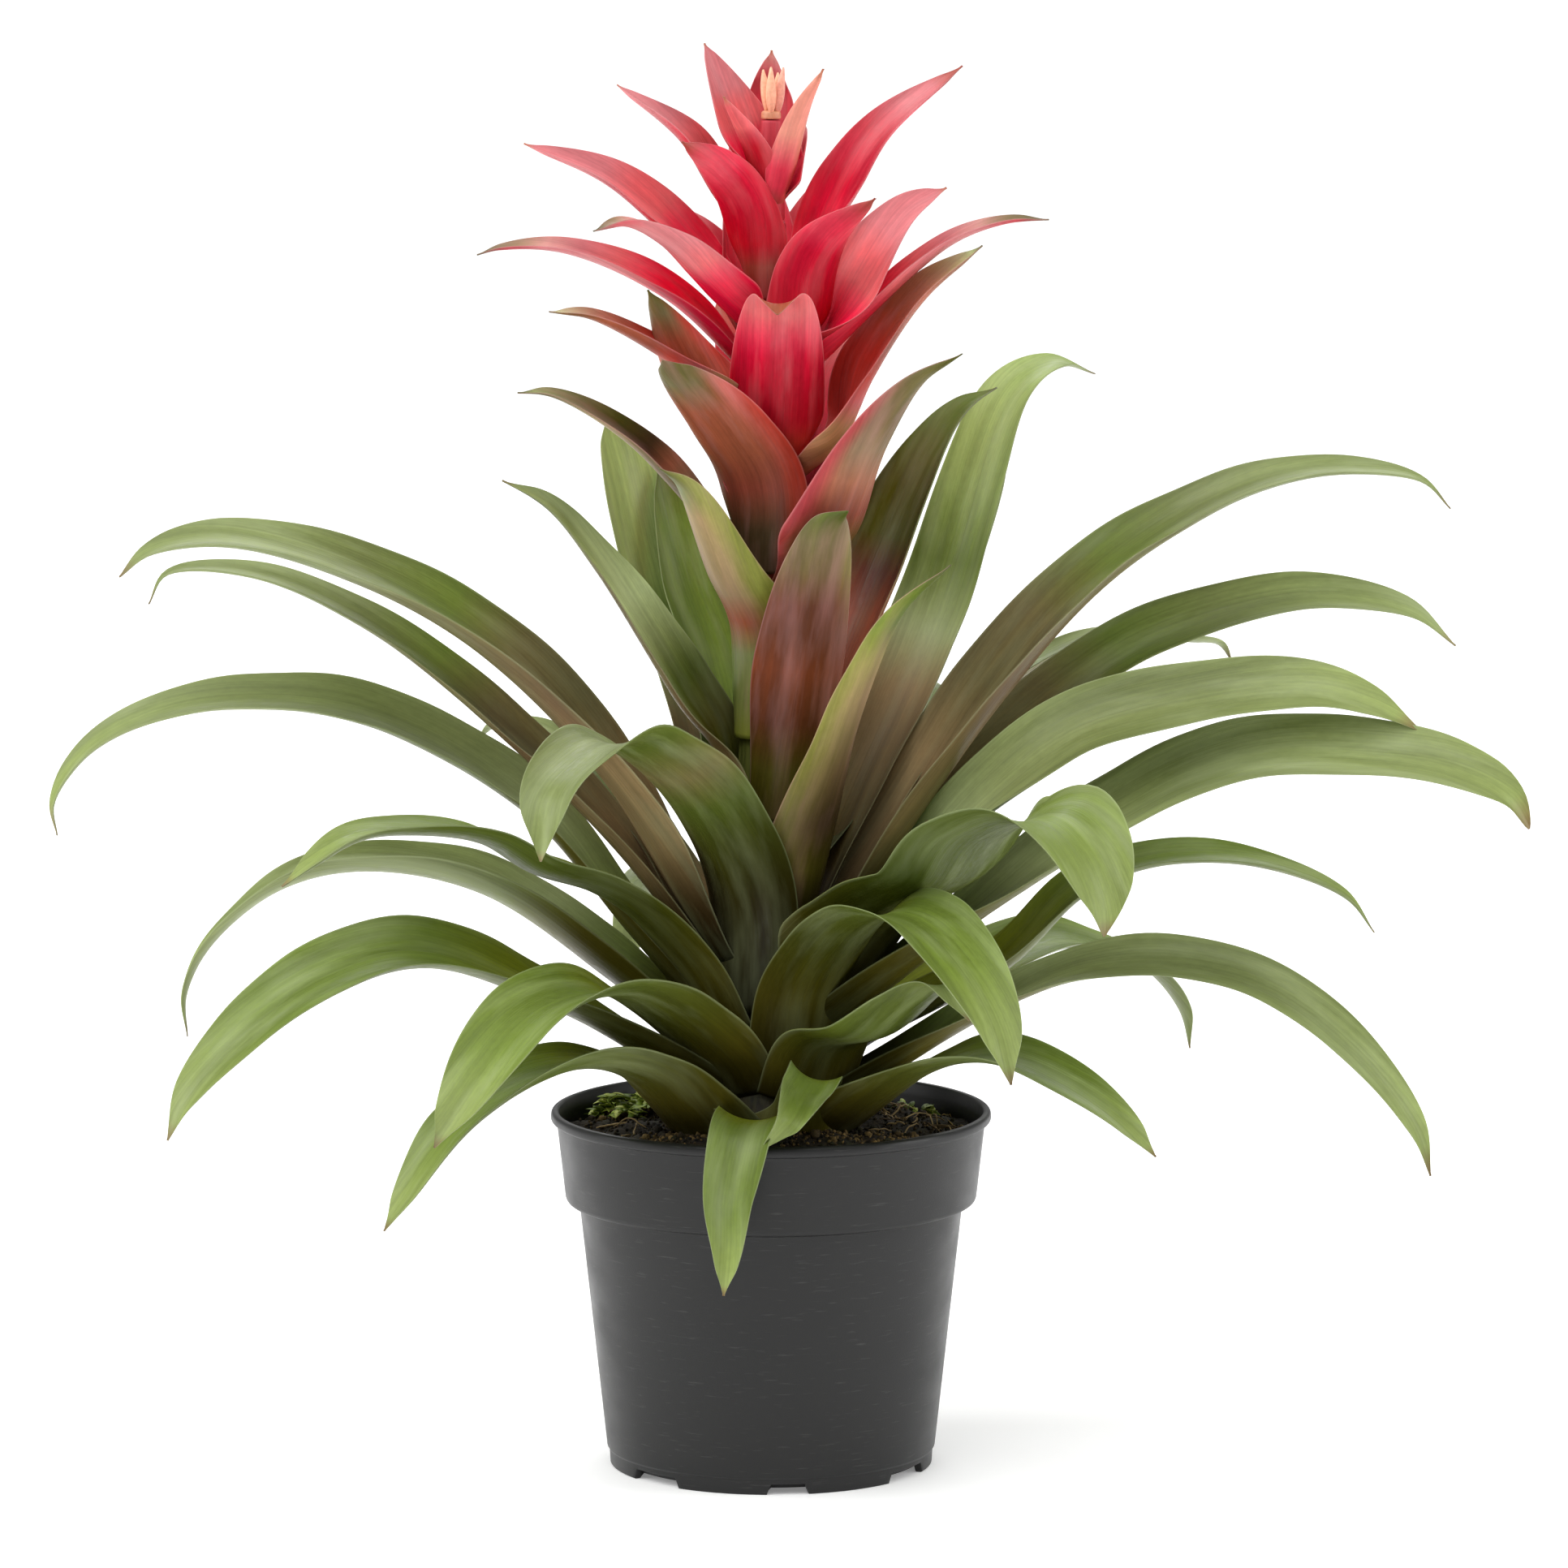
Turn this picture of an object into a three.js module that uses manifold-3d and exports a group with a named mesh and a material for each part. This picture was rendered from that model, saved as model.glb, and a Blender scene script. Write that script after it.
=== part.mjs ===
// Potted flowering bromeliad. Millimetres, +Z up, origin on the floor under the pot's axis.
// Azimuths are degrees seen from above: 0 is +X, 90 is +Y (the back), 270 is -Y (the front).
import * as THREE from "three";
import { mergeVertices } from "three/addons/utils/BufferGeometryUtils.js";
import Module from "manifold-3d";

const wasm = await Module();
wasm.setup();

// Pot: a nursery pot 15 cm across the lip.
const POT_HEIGHT = 122;
const LIP_RADIUS = 75;
const LIP_DROP = 4;
const BAND_RADIUS = 72.9;
const BAND_FOOT_RADIUS = 70;
const BAND_FOOT_Z = 91;
const BODY_RADIUS = 65.3;
const BODY_FOOT_RADIUS = 56;
const FOOT_RADIUS = 55;
const FOOT_HEIGHT = 6;
const FOOT_RING = 3;
const WALL = 1.6;
const FLOOR_Z = 4;
const FLOOR_INSET = 5;
const LEDGE = 1;
const LIP_WIDTH = 2.2;
const SOFT = 0.6;
const POT_SIDES = 40;
const NOTCHES = 7;
const NOTCH_HEIGHT = 3.6;
const NOTCH_DEPTH = 12;
const NOTCH_SLOPE = 1.2;
const NOTCH_WIDTHS = [13, 21];
const NOTCH_TURN = 276.4;

// Soil fills the pot to a little under the lip; its heap is a radius at each height.
const SOIL_Z = 113;
const SOIL_HEAP = [
  [48, 114.6],
  [36, 116],
  [0, 116],
];
const SOIL_SIDES = 30;

// Gap kept between any two pieces, and how far a blade is cut clear of what it meets.
const GAP = 0.3;

// Stem with the tight inner sheaths round it: radius at each height.
const STEM = [
  [0, 104],
  [24, 104],
  [30, 112],
  [29, 122],
  [25, 137],
  [21.5, 152],
  [18.5, 167],
  [16, 185],
  [13, 215],
  [10.5, 255],
  [8.5, 300],
  [7, 350],
  [6, 395],
  [5, 424],
  [0, 424],
];
const STEM_SIDES = 16;

// Axis of the tuft on the stem's end, and the florets: a disc and the buds that stand on it.
const TUFT_CORE = [
  [4.7, 424.3],
  [4.4, 442],
  [3.4, 458],
];
const DISC = { radius: 3.6, foot: 458.3, top: 461, sides: 14 };
const BUD = [
  [0, 0],
  [2.3, 2],
  [2.4, 9],
  [0, 15.5],
];
const BUDS = 5;
const BUD_SIDES = 8;
const BUD_LEAN = 9;
const BUD_REACH = 2.2;
const BUD_SINK = [1.4, 2.2];
const BUD_TURN = 200;

// Shape of a blade: thickness, stations along it, segments across it, how its width ends (taper, blunt),
// narrowing towards the tip (fall), half angle of its channel in degrees (cup, tipCup), half angle
// of the sheath round the stem (wrap) and the share of the length the sheath takes (neck).
const LEAF = {
  thick: 1,
  stations: 10,
  across: 4,
  taper: 5,
  blunt: 0.8,
  fall: 0.34,
  cup: 42,
  tipCup: 30,
  wrap: 48,
  neck: 0.22,
};
const BRACT = {
  thick: 0.9,
  stations: 8,
  across: 3,
  taper: 1.9,
  blunt: 0.95,
  fall: 0,
  cup: 50,
  tipCup: 45,
  wrap: 62,
  neck: 0.28,
};
const TUFT = { ...BRACT, stations: 5 };
const BACK_LEAF = { ...LEAF, stations: 8, across: 3, cup: 50 };
const TIP_WIDTH = 1;
const LEAST_RADIUS = 0.15;
const END_CROWDING = 0.04;
const ROLL_SPAN = [0.05, 0.5];
const OPENING_SPAN = [0.3, 0.95];

// Each blade: name, kind, azimuth, width, its midrib as [radius, height, sideways] and changes to the kind.
// roll turns the blade about its midrib in degrees, starting after the sheath.
const BLADES = [
  ["leaf_left_1", LEAF, 189, 52.7,
    [[19, 172], [60.2, 241.5], [100.7, 283.4], [142, 307.3],
      [184.8, 319.6], [209.7, 316], [219.9, 307.8]],
    { cup: 60, roll: -17, fall: 0.27 }],
  ["leaf_left_2", LEAF, 174, 31.5,
    [[19, 168], [55.4, 214.7], [105.6, 263.4], [140.8, 288.7],
      [176.3, 303.2], [206.8, 302.7], [213, 292.2]],
    { cup: 58, taper: 3.4, roll: -20, fall: 0.37 }],
  ["leaf_left_3", LEAF, 174, 32.1,
    [[22, 152], [50, 185.2], [83.4, 225.2], [137.9, 255.3], [182, 259.6],
      [212.3, 254.1], [236.4, 241.4], [249.2, 223.4], [248.2, 212.1]],
    { cup: 52, roll: -25, fall: 0.24 }],
  ["leaf_left_4", LEAF, 208, 39.2,
    [[21, 150], [32.5, 171.2], [51.7, 191.8], [67.7, 202], [89.9, 209.8],
      [108.8, 221.1], [135.6, 226], [156.7, 225], [182.1, 211.2]],
    { fall: 0.12 }],
  ["leaf_left_5", LEAF, 181, 57.5,
    [[24, 142], [54.5, 167.3], [98, 197.2], [138.5, 204.9],
      [167.3, 198], [190.5, 178.8], [198.8, 162.1], [198.3, 147.4]],
    { cup: 55, taper: 3.2, fall: 0.39 }],
  ["leaf_left_6", LEAF, 204, 46.7,
    [[26, 130], [78.3, 161.9], [128.4, 182.3], [162.9, 176.2],
      [195.2, 156], [211.4, 139.3], [217.8, 127]],
    { cup: 44, roll: -18, fall: 0.23 }],
  ["leaf_left_7", LEAF, 232, 52.3,
    [[25, 130], [35, 142.4], [59.6, 160.1], [86.6, 172.5], [113.2, 173.1], [134.2, 166.2], [176.8, 134]],
    { roll: -1, fall: 0.27 }],
  ["leaf_left_8", LEAF, 224, 49.5,
    [[34, 114], [48.6, 128.4], [61.6, 139.4], [83.4, 146.5],
      [107.2, 145.8], [142.4, 133.1], [175.4, 103.2]],
    { roll: 6, neck: 0.3, fall: 0.44 }],
  ["leaf_front_1", LEAF, 241, 40.8,
    [[21, 158], [20.2, 188.5], [27, 205.4], [39.9, 221], [61.4, 238.6],
      [86.8, 252.4], [105.6, 259.4], [128.2, 255.7], [147.4, 246.2], [153.3, 226.6]],
    { cup: 62, fall: -0.09, roll: 3 }],
  ["leaf_front_2", LEAF, 262, 30.5,
    [[30, 114], [44, 123, 1], [62, 129, 3], [84, 127, 2], [92, 108, -1], [103, 92], [105, 78, -1]],
    { fall: 0.46 }],
  ["leaf_front_3", LEAF, 282, 23.6,
    [[31, 111], [51.2, 140.5, 3.6], [66.2, 139.1, -3.1], [87.3, 133.2, -13.3], [84.9, 123.1, -21.8]],
    { roll: -22, fall: 0.39 }],
  ["leaf_front_4", LEAF, -63, 39.1,
    [[23, 142], [30.3, 165.1], [51.2, 184.8], [77.9, 199],
      [106.3, 200.7], [137.5, 190.1], [159.5, 174.8], [170.1, 156.7]],
    { roll: 5, fall: 0.14 }],
  ["leaf_front_5", LEAF, -54, 48,
    [[27, 128], [39, 148], [63, 156], [84, 170.1], [101, 178], [111, 167.3]], { roll: 6, fall: 0.2 }],
  ["leaf_right_1", LEAF, 7, 55.3,
    [[18, 177], [29.7, 192.7], [77.4, 262.6], [107.9, 298.1], [143.3, 322.9],
      [170.8, 334.6], [197.8, 338.1], [223.1, 334.1], [233.2, 324.2]],
    { cup: 60, taper: 3.2, roll: 18, fall: 0.48 }],
  ["leaf_right_2", LEAF, 14, 26.8,
    [[22, 155], [36, 192.3], [59.6, 226.7], [116.8, 271.1],
      [144.7, 283.7], [188.6, 292.6], [226.2, 286.7], [243.5, 273.5]],
    { cup: 58, roll: 42, fall: 0.12 }],
  ["leaf_right_3", LEAF, 34, 37.2,
    [[20, 168], [46, 216.9], [82.1, 251.5], [116.3, 267.4],
      [149.8, 275], [175.4, 270.9], [190.3, 268.3], [195.2, 262.3]],
    { cup: 45, roll: -7, fall: 0.32 }],
  ["leaf_right_4", LEAF, -12, 40,
    [[20, 158], [43.4, 197.2], [98.9, 249.8], [123.9, 260.5],
      [182.1, 271], [204.2, 266.4], [221.2, 257.5]],
    { cup: 45, taper: 6, blunt: 0.85, roll: 42, fall: 0.28, wrap: 66, neck: 0.36 }],
  ["leaf_right_5", LEAF, -14, 43.5,
    [[22, 150], [97.7, 211.2], [116.8, 224.9], [144, 240.4], [171.1, 248.8],
      [201.3, 250.2], [231.9, 246.9], [252.5, 237.4], [259.1, 227]],
    { cup: 42, taper: 8, blunt: 0.6, roll: 37, fall: 0.38, neck: 0.36, wrap: 58 }],
  ["leaf_right_6", LEAF, -47, 69.5,
    [[20, 155], [41, 187.5, 14], [82, 208, 8.7], [109.2, 227.5, -1.5],
      [130.7, 234.6], [147.5, 226.2], [158.1, 209.1], [158.8, 199.3]],
    { fall: 0.1, neck: 0.13, roll: 3 }],
  ["leaf_right_7", LEAF, 12, 26.5,
    [[24, 141], [43.4, 149.2], [82.6, 169.8], [107.3, 193.3],
      [132.6, 202.9], [167.7, 202.1], [202, 189.1], [212.8, 175.7]],
    { cup: 55, roll: 18, neck: 0.36 }],
  ["leaf_right_8", LEAF, 42, 37.3,
    [[25, 136], [64.4, 149.2], [132.1, 165.8], [160.8, 159.5],
      [181.8, 149.5], [197.6, 133.4], [201.1, 119.9]],
    { roll: 16 }],
  ["leaf_right_9", LEAF, -10, 18.1,
    [[27, 126], [83, 162.7], [108.7, 173.4], [137.8, 176.1],
      [169.9, 168.7], [198.9, 148], [219.9, 122.1], [225, 105.9]],
    { cup: 46, roll: 39, fall: -0.32, neck: 0.36 }],
  ["leaf_right_10", LEAF, -43, 32.3,
    [[31, 117], [50.6, 130.4], [70.8, 142.7], [90.1, 149.7],
      [109.3, 151.4], [133, 146.2], [156.1, 136.9], [171.6, 126.9]],
    { roll: 11, fall: 0.31, neck: 0.36 }],
  ["leaf_back_1", BACK_LEAF, 68, 36,
    [[22, 150], [38, 190], [66, 228], [105, 250], [138, 248], [158, 232], [168, 208]], {}],
  ["leaf_back_2", BACK_LEAF, 98, 36,
    [[21, 154], [52, 200], [88, 222], [120, 220], [143, 202], [154, 176]], {}],
  ["leaf_back_3", BACK_LEAF, 110, 34,
    [[24, 138], [56, 172], [90, 188], [122, 182], [144, 164], [154, 142]], {}],
  ["leaf_back_4", BACK_LEAF, 148, 34,
    [[20, 160], [46, 204], [76, 234], [98, 246], [112, 246], [120, 240]], {}],
  ["leaf_back_5", BACK_LEAF, 84, 32, [[29, 122], [60, 148], [92, 156], [118, 144], [134, 120]], {}],
  ["leaf_back_6", BACK_LEAF, 84, 32, [[13.5, 210], [24, 256], [36, 300], [50, 330]], { taper: 3 }],
  ["leaf_upright_1", BRACT, 204, 42,
    [[16, 190], [17.1, 222.2], [19.7, 245.8], [33, 266.1], [63.6, 312.1], [81.3, 332.2], [97.6, 340.6]],
    { roll: -46, fall: 0 }],
  ["leaf_upright_2", LEAF, 125, 43.4,
    [[16, 188], [39.9, 248.8], [68.7, 295], [86.7, 336], [95.9, 352.4]],
    { taper: 9, blunt: 0.5, roll: 6, fall: 0.16 }],
  ["leaf_upright_3", LEAF, 118, 36,
    [[15, 198], [26, 240], [42, 273], [61, 296], [73, 316], [83, 335]], {}],
  ["leaf_upright_4", LEAF, 40, 36.6,
    [[16, 188], [36.7, 223.6], [75, 287.7], [107.4, 359.7], [128.5, 369.2], [147.1, 364.6]],
    { roll: 16, fall: 0.22 }],
  ["leaf_upright_5", BRACT, 27, 50.9,
    [[12, 240], [61.5, 343.7], [73.3, 358.2], [86.5, 364.6]], { roll: 15, fall: -0.08 }],
  ["leaf_upright_6", LEAF, 54, 27.4,
    [[15, 202], [72.5, 240.9], [95.5, 265.3], [138.5, 329.4], [142.8, 335.9]], { roll: -12 }],
  ["bract_low_1", BRACT, -53, 35.2,
    [[15, 192], [24.2, 216.8], [53.5, 274.7], [71.3, 298.7], [97.6, 316.6]], { roll: 19, fall: 0.04 }],
  ["bract_low_2", BRACT, 281, 35.7,
    [[13, 222], [36.2, 311.1, 10], [45.2, 326.2, 12], [51.2, 331.3, 16]],
    { taper: 3, blunt: 0.7, neck: 0.5, wrap: 50, roll: 3, fall: -0.14 }],
  ["bract_low_3", BRACT, 230, 40.3,
    [[12, 250], [11, 284.6], [24.7, 305.6], [45.1, 338], [58, 345.4]],
    { roll: -2, cup: 60, wrap: 48, fall: -0.11 }],
  ["bract_mid_1", BRACT, 189, 27.6,
    [[9.2, 300], [22.2, 321.7], [47.6, 350.9], [74.5, 367], [85.9, 367.5]], { roll: -24 }],
  ["bract_mid_2", BRACT, -41, 54.9,
    [[9.2, 299], [28.7, 316.8], [46.2, 349.9], [64.7, 373.2], [83.4, 384.1]], { roll: 6, fall: 0.22 }],
  ["bract_mid_3", BRACT, 232, 38.4,
    [[10, 306], [11.1, 335.3], [25.7, 352.9], [58.2, 381.1]],
    { taper: 3, blunt: 0.7, roll: 11, fall: -0.1 }],
  ["bract_mid_4", BRACT, -14, 42,
    [[8, 336], [24.9, 351.7], [34.9, 375.7], [52.4, 400.6], [72.6, 417.1]], { roll: 33, fall: -0.03 }],
  ["bract_mid_5", BRACT, 200, 36.2, [[9, 346], [28.4, 372.6], [43.8, 402.1]], { roll: 45, fall: -0.04 }],
  ["bract_mid_6", BRACT, 202, 31.5,
    [[8, 358], [30.8, 374.7], [65, 393.9], [79.5, 396]], { roll: -14, fall: 0.06 }],
  ["bract_mid_7", BRACT, 268, 37,
    [[8, 338], [17, 362, 2], [38, 396, 4], [47, 400, 4], [53, 397, 4]], { taper: 3.2, blunt: 0.6 }],
  ["bract_top_1", BRACT, -10, 27.2,
    [[7.2, 367], [49.7, 408.8], [64.5, 419.6], [81.4, 425.3], [94.1, 425.7]], { roll: 14 }],
  ["bract_top_2", BRACT, -20, 35.1,
    [[7.1, 373], [21, 388.5], [47.6, 427.9], [62.1, 436.6]], { roll: 70, fall: -0.08 }],
  ["bract_top_3", BRACT, -52, 29.7,
    [[7, 376], [16.8, 388.4], [21.1, 407.2], [29.5, 418.5], [55.9, 434.6]], { roll: -22, fall: -0.03 }],
  ["bract_top_4", BRACT, 178, 30.1,
    [[7.1, 372], [35.8, 399.5], [68.4, 414], [90.6, 414.9], [98.9, 412.5]], { roll: -14, fall: 0.06 }],
  ["bract_top_5", BRACT, 214, 40.5,
    [[7, 386], [28.8, 406.2], [42.1, 417.9], [58.3, 425.2], [70.8, 423.5]], { roll: -2, fall: 0.03 }],
  ["bract_top_6", BRACT, 8, 32.4, [[7, 394], [26.8, 437.3], [37.6, 453.8], [64.9, 475.6]], { roll: 33 }],
  ["bract_top_7", BRACT, 184, 34.3,
    [[7, 396], [27, 414.5], [54.3, 438.2], [82.8, 450.4]], { roll: -26, fall: -0.05 }],
  ["bract_top_8", BRACT, 236, 23.1,
    [[7, 398], [12.6, 429.1], [29.5, 443.2], [52.7, 453.2]], { roll: 54, fall: -0.14 }],
];

// Blades that hold together as one body: the tuft at the top and the bracts at the back.
const CROWN = [
  [TUFT, 178, 32.2, [[3, 427], [13.8, 427.7], [29.5, 451.6], [51.6, 469.7]], { roll: -14 }],
  [TUFT, 236, 15, [[3, 433], [10, 447], [28, 467]], {}],
  [TUFT, -54, 14.7, [[3, 428], [10.4, 447.6], [18.5, 463], [29.5, 476.2]], { roll: -4, fall: 0.04 }],
  [TUFT, 88, 27.4, [[3, 430], [9.9, 450.6], [14.8, 468], [5.7, 480.8]], { roll: -18, fall: -0.14 }],
  [TUFT, 160, 32.2, [[3, 432], [10.8, 451.5], [23.8, 483.2]], { roll: -30 }],
  [TUFT, 50, 30.1, [[3, 429], [8.7, 444.1], [18, 455.9]], { roll: 2 }],
];
const BACK_TOP = [
  [TUFT, 56, 36, [[7.6, 380], [20, 404], [36, 428], [62, 446]], {}],
  [TUFT, 104, 36, [[7.6, 380], [18, 410], [34, 438], [52, 452]], {}],
  [TUFT, 140, 34, [[7.6, 380], [20, 402], [36, 420], [54, 430]], {}],
];
const BACK_MID = [
  [TUFT, 8, 32, [[10, 322], [22, 332], [44, 362]], {}],
  [TUFT, 62, 36, [[10, 322], [22, 346], [42, 372], [66, 386]], {}],
  [TUFT, 108, 36, [[10, 322], [20, 350], [40, 380], [60, 394]], {}],
  [TUFT, 128, 32, [[10, 322], [20, 344], [34, 362], [42, 370]], {}],
];

const rad = THREE.MathUtils.degToRad;
const smooth = THREE.MathUtils.smoothstep;

// A geometry as a solid that can be cut and joined.
function solidOf(geometry) {
  const bare = new THREE.BufferGeometry().setAttribute("position", geometry.getAttribute("position"));
  bare.setIndex(geometry.index);
  const merged = mergeVertices(bare, 1e-4);
  return new wasm.Manifold(
    new wasm.Mesh({
      numProp: 3,
      vertProperties: merged.attributes.position.array,
      triVerts: new Uint32Array(merged.index.array),
    }),
  );
}

// A solid as a geometry with flat vertices.
function geometryOf(solid) {
  const mesh = solid.getMesh();
  const points = new Float32Array(mesh.numVert * 3);
  for (let i = 0; i < mesh.numVert; i++) {
    points.set(mesh.vertProperties.subarray(i * mesh.numProp, i * mesh.numProp + 3), i * 3);
  }
  const geometry = new THREE.BufferGeometry();
  geometry.setAttribute("position", new THREE.BufferAttribute(points, 3));
  geometry.setIndex(new THREE.BufferAttribute(new Uint32Array(mesh.triVerts), 1));
  geometry.computeVertexNormals();
  return geometry;
}

// A closed profile of [radius, height] turned about +Z.
function turned(profile, sides) {
  const points = profile.map(([r, z]) => new THREE.Vector2(r, z));
  return new THREE.LatheGeometry(points, sides).rotateX(Math.PI / 2);
}

// Outline width of a blade at the share s of its length.
function widthAt(shape, s, rootWidth) {
  const free = shape.width * (1 - shape.fall * s) * (1 - s ** shape.taper) ** shape.blunt;
  const out = smooth(s, 0, shape.neck);
  return Math.max(rootWidth * (1 - out) + free * out, TIP_WIDTH);
}

// Frame and section of a blade at the share s of its length.
function stationAt(shape, curve, side, s, rootWidth) {
  const tangent = curve.getTangentAt(s);
  const across = side.clone().addScaledVector(tangent, -side.dot(tangent)).normalize();
  const up = tangent.clone().cross(across);
  const roll = rad(shape.roll ?? 0) * smooth(s, ...ROLL_SPAN);
  const out = smooth(s, 0, shape.neck);
  const open = rad(shape.cup + (shape.tipCup - shape.cup) * smooth(s, ...OPENING_SPAN));
  const half = rad(shape.wrap) * (1 - out) + open * out;
  return {
    centre: curve.getPointAt(s),
    tangent,
    across: across.clone().multiplyScalar(Math.cos(roll)).addScaledVector(up, Math.sin(roll)),
    up: up.clone().multiplyScalar(Math.cos(roll)).addScaledVector(across, -Math.sin(roll)),
    half,
    radius: widthAt(shape, s, rootWidth) / (2 * half),
  };
}

// Points across a blade at one station, on the side moved by lift towards the inside of its channel.
function sectionPoints(station, across, lift, widen) {
  const radius = Math.max(station.radius - lift, LEAST_RADIUS);
  const reach = station.half + widen / station.radius;
  const axis = station.centre.clone().addScaledVector(station.up, station.radius);
  const points = [];
  for (let j = 0; j <= across; j++) {
    const angle = reach * ((2 * j) / across - 1);
    const point = axis.clone().addScaledVector(station.across, radius * Math.sin(angle));
    points.push(point.addScaledVector(station.up, -radius * Math.cos(angle)));
  }
  return points;
}

// A blade as a closed geometry. grow makes it that much bigger on every side, for cutting clear of it.
function bladeGeometry([kind, azimuth, width, midrib, change], grow) {
  const shape = { ...kind, width, ...change };
  const turn = rad(azimuth);
  const side = new THREE.Vector3(-Math.sin(turn), Math.cos(turn), 0);
  const outward = new THREE.Vector3(Math.cos(turn), Math.sin(turn), 0);
  const points = midrib.map(([r, z, y = 0]) =>
    new THREE.Vector3(0, 0, z).addScaledVector(outward, r).addScaledVector(side, y),
  );
  const curve = new THREE.CatmullRomCurve3(points, false, "centripetal");
  const rootWidth = 2 * rad(shape.wrap) * midrib[0][0];
  const rings = [];
  for (let i = 0; i < shape.stations; i++) {
    const step = i / (shape.stations - 1);
    const share = step - END_CROWDING * Math.sin(2 * Math.PI * step);
    const station = stationAt(shape, curve, side, share, rootWidth);
    const end = i === 0 ? -grow : i === shape.stations - 1 ? grow : 0;
    station.centre.addScaledVector(station.tangent, end);
    const inner = sectionPoints(station, shape.across, grow, grow);
    const outer = sectionPoints(station, shape.across, -shape.thick - grow, grow);
    rings.push([...inner, ...outer.reverse()]);
  }
  return closedTube(rings, shape.across + 1);
}

// Rings of 2 * n points, one face's points and then the other's in reverse, joined into a closed geometry.
// Both faces have their quads split the same way, so that a twisted blade keeps its thickness.
function closedTube(rings, n) {
  const size = 2 * n;
  const last = (rings.length - 1) * size;
  const faces = [];
  for (let i = 0; i < rings.length - 1; i++) {
    for (let j = 0; j < size; j++) {
      const a = i * size + j;
      const b = i * size + ((j + 1) % size);
      if (j < n) faces.push(a, a + size, b + size, a, b + size, b);
      else faces.push(a, a + size, b, b, a + size, b + size);
    }
  }
  for (let j = 0; j < n - 1; j++) {
    const k = size - 1 - j;
    faces.push(j, j + 1, k - 1, j, k - 1, k);
    faces.push(last + j, last + k - 1, last + j + 1, last + j, last + k, last + k - 1);
  }
  const geometry = new THREE.BufferGeometry().setFromPoints(rings.flat());
  geometry.setIndex(faces);
  return geometry;
}

// The largest of the bodies a solid falls into.
function largest(solid) {
  return solid.decompose().sort((a, b) => b.volume() - a.volume())[0];
}

// Several blades joined into one solid.
function joinedBlades(rows, grow) {
  return wasm.Manifold.union(rows.map((row) => solidOf(bladeGeometry(row, grow))));
}

// The pot's wall, lip, band, floor and foot ring as one profile, with the notches cut out of the foot.
function potSolid() {
  const outside = [
    [0, FLOOR_Z - WALL],
    [FOOT_RADIUS - FOOT_RING, FLOOR_Z - WALL],
    [FOOT_RADIUS - FOOT_RING + SOFT, 0],
    [FOOT_RADIUS, 0],
    [FOOT_RADIUS + SOFT / 2, FOOT_HEIGHT - SOFT],
    [BODY_FOOT_RADIUS, FOOT_HEIGHT],
    [BODY_RADIUS, BAND_FOOT_Z - LEDGE],
    [BAND_FOOT_RADIUS - SOFT, BAND_FOOT_Z],
    [BAND_FOOT_RADIUS, BAND_FOOT_Z + SOFT],
    [BAND_RADIUS, POT_HEIGHT - LIP_DROP],
    [LIP_RADIUS - SOFT, POT_HEIGHT - LIP_DROP + SOFT],
    [LIP_RADIUS, POT_HEIGHT - LIP_DROP / 2],
    [LIP_RADIUS - SOFT, POT_HEIGHT - SOFT / 2],
    [LIP_RADIUS - LIP_WIDTH, POT_HEIGHT],
  ];
  const inside = [
    [BAND_RADIUS - WALL, POT_HEIGHT - LIP_DROP],
    [BAND_FOOT_RADIUS - WALL, BAND_FOOT_Z + 2 * LEDGE],
    [BODY_RADIUS - WALL, BAND_FOOT_Z - LEDGE],
    [BODY_FOOT_RADIUS - WALL, FOOT_HEIGHT],
    [FOOT_RADIUS - FLOOR_INSET, FLOOR_Z],
    [0, FLOOR_Z],
  ];
  const cuts = [];
  for (let i = 0; i < NOTCHES; i++) {
    cuts.push(notchSolid(NOTCH_TURN + (360 / NOTCHES) * i, NOTCH_WIDTHS[i === 0 ? 0 : 1]));
  }
  return solidOf(turned([...outside, ...inside], POT_SIDES)).subtract(wasm.Manifold.union(cuts));
}

// A block that cuts one notch, a little narrower at its top.
function notchSolid(azimuth, degrees) {
  const half = FOOT_RADIUS * rad(degrees / 2);
  const shape = new THREE.Shape([
    new THREE.Vector2(-half, -1),
    new THREE.Vector2(half, -1),
    new THREE.Vector2(half - NOTCH_SLOPE, NOTCH_HEIGHT),
    new THREE.Vector2(-half + NOTCH_SLOPE, NOTCH_HEIGHT),
  ]);
  const block = new THREE.ExtrudeGeometry(shape, { depth: NOTCH_DEPTH, bevelEnabled: false });
  block.rotateX(Math.PI / 2).rotateY(Math.PI);
  block.rotateZ(Math.PI / 2).translate(FOOT_RADIUS - NOTCH_DEPTH / 2, 0, 0);
  return solidOf(block.rotateZ(rad(azimuth)));
}

// Soil up to the pot's inner face, with a socket for the stem.
function soilSolid(grow) {
  const inset = WALL + GAP - grow;
  const shoulder = BAND_FOOT_Z + 2 * LEDGE;
  const slope = (BAND_RADIUS - BAND_FOOT_RADIUS) / (POT_HEIGHT - LIP_DROP - shoulder);
  const profile = [
    [0, FLOOR_Z + GAP],
    [FOOT_RADIUS - FLOOR_INSET - GAP, FLOOR_Z + GAP],
    [BODY_FOOT_RADIUS - inset, FOOT_HEIGHT + GAP],
    [BODY_RADIUS - inset, BAND_FOOT_Z - LEDGE + GAP],
    [BAND_FOOT_RADIUS - inset, shoulder + 2 * GAP],
    [BAND_FOOT_RADIUS + slope * (SOIL_Z - shoulder) - inset - GAP, SOIL_Z + grow],
    ...SOIL_HEAP.map(([r, z]) => [r, z + grow]),
  ];
  return solidOf(turned(profile, SOIL_SIDES));
}

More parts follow.
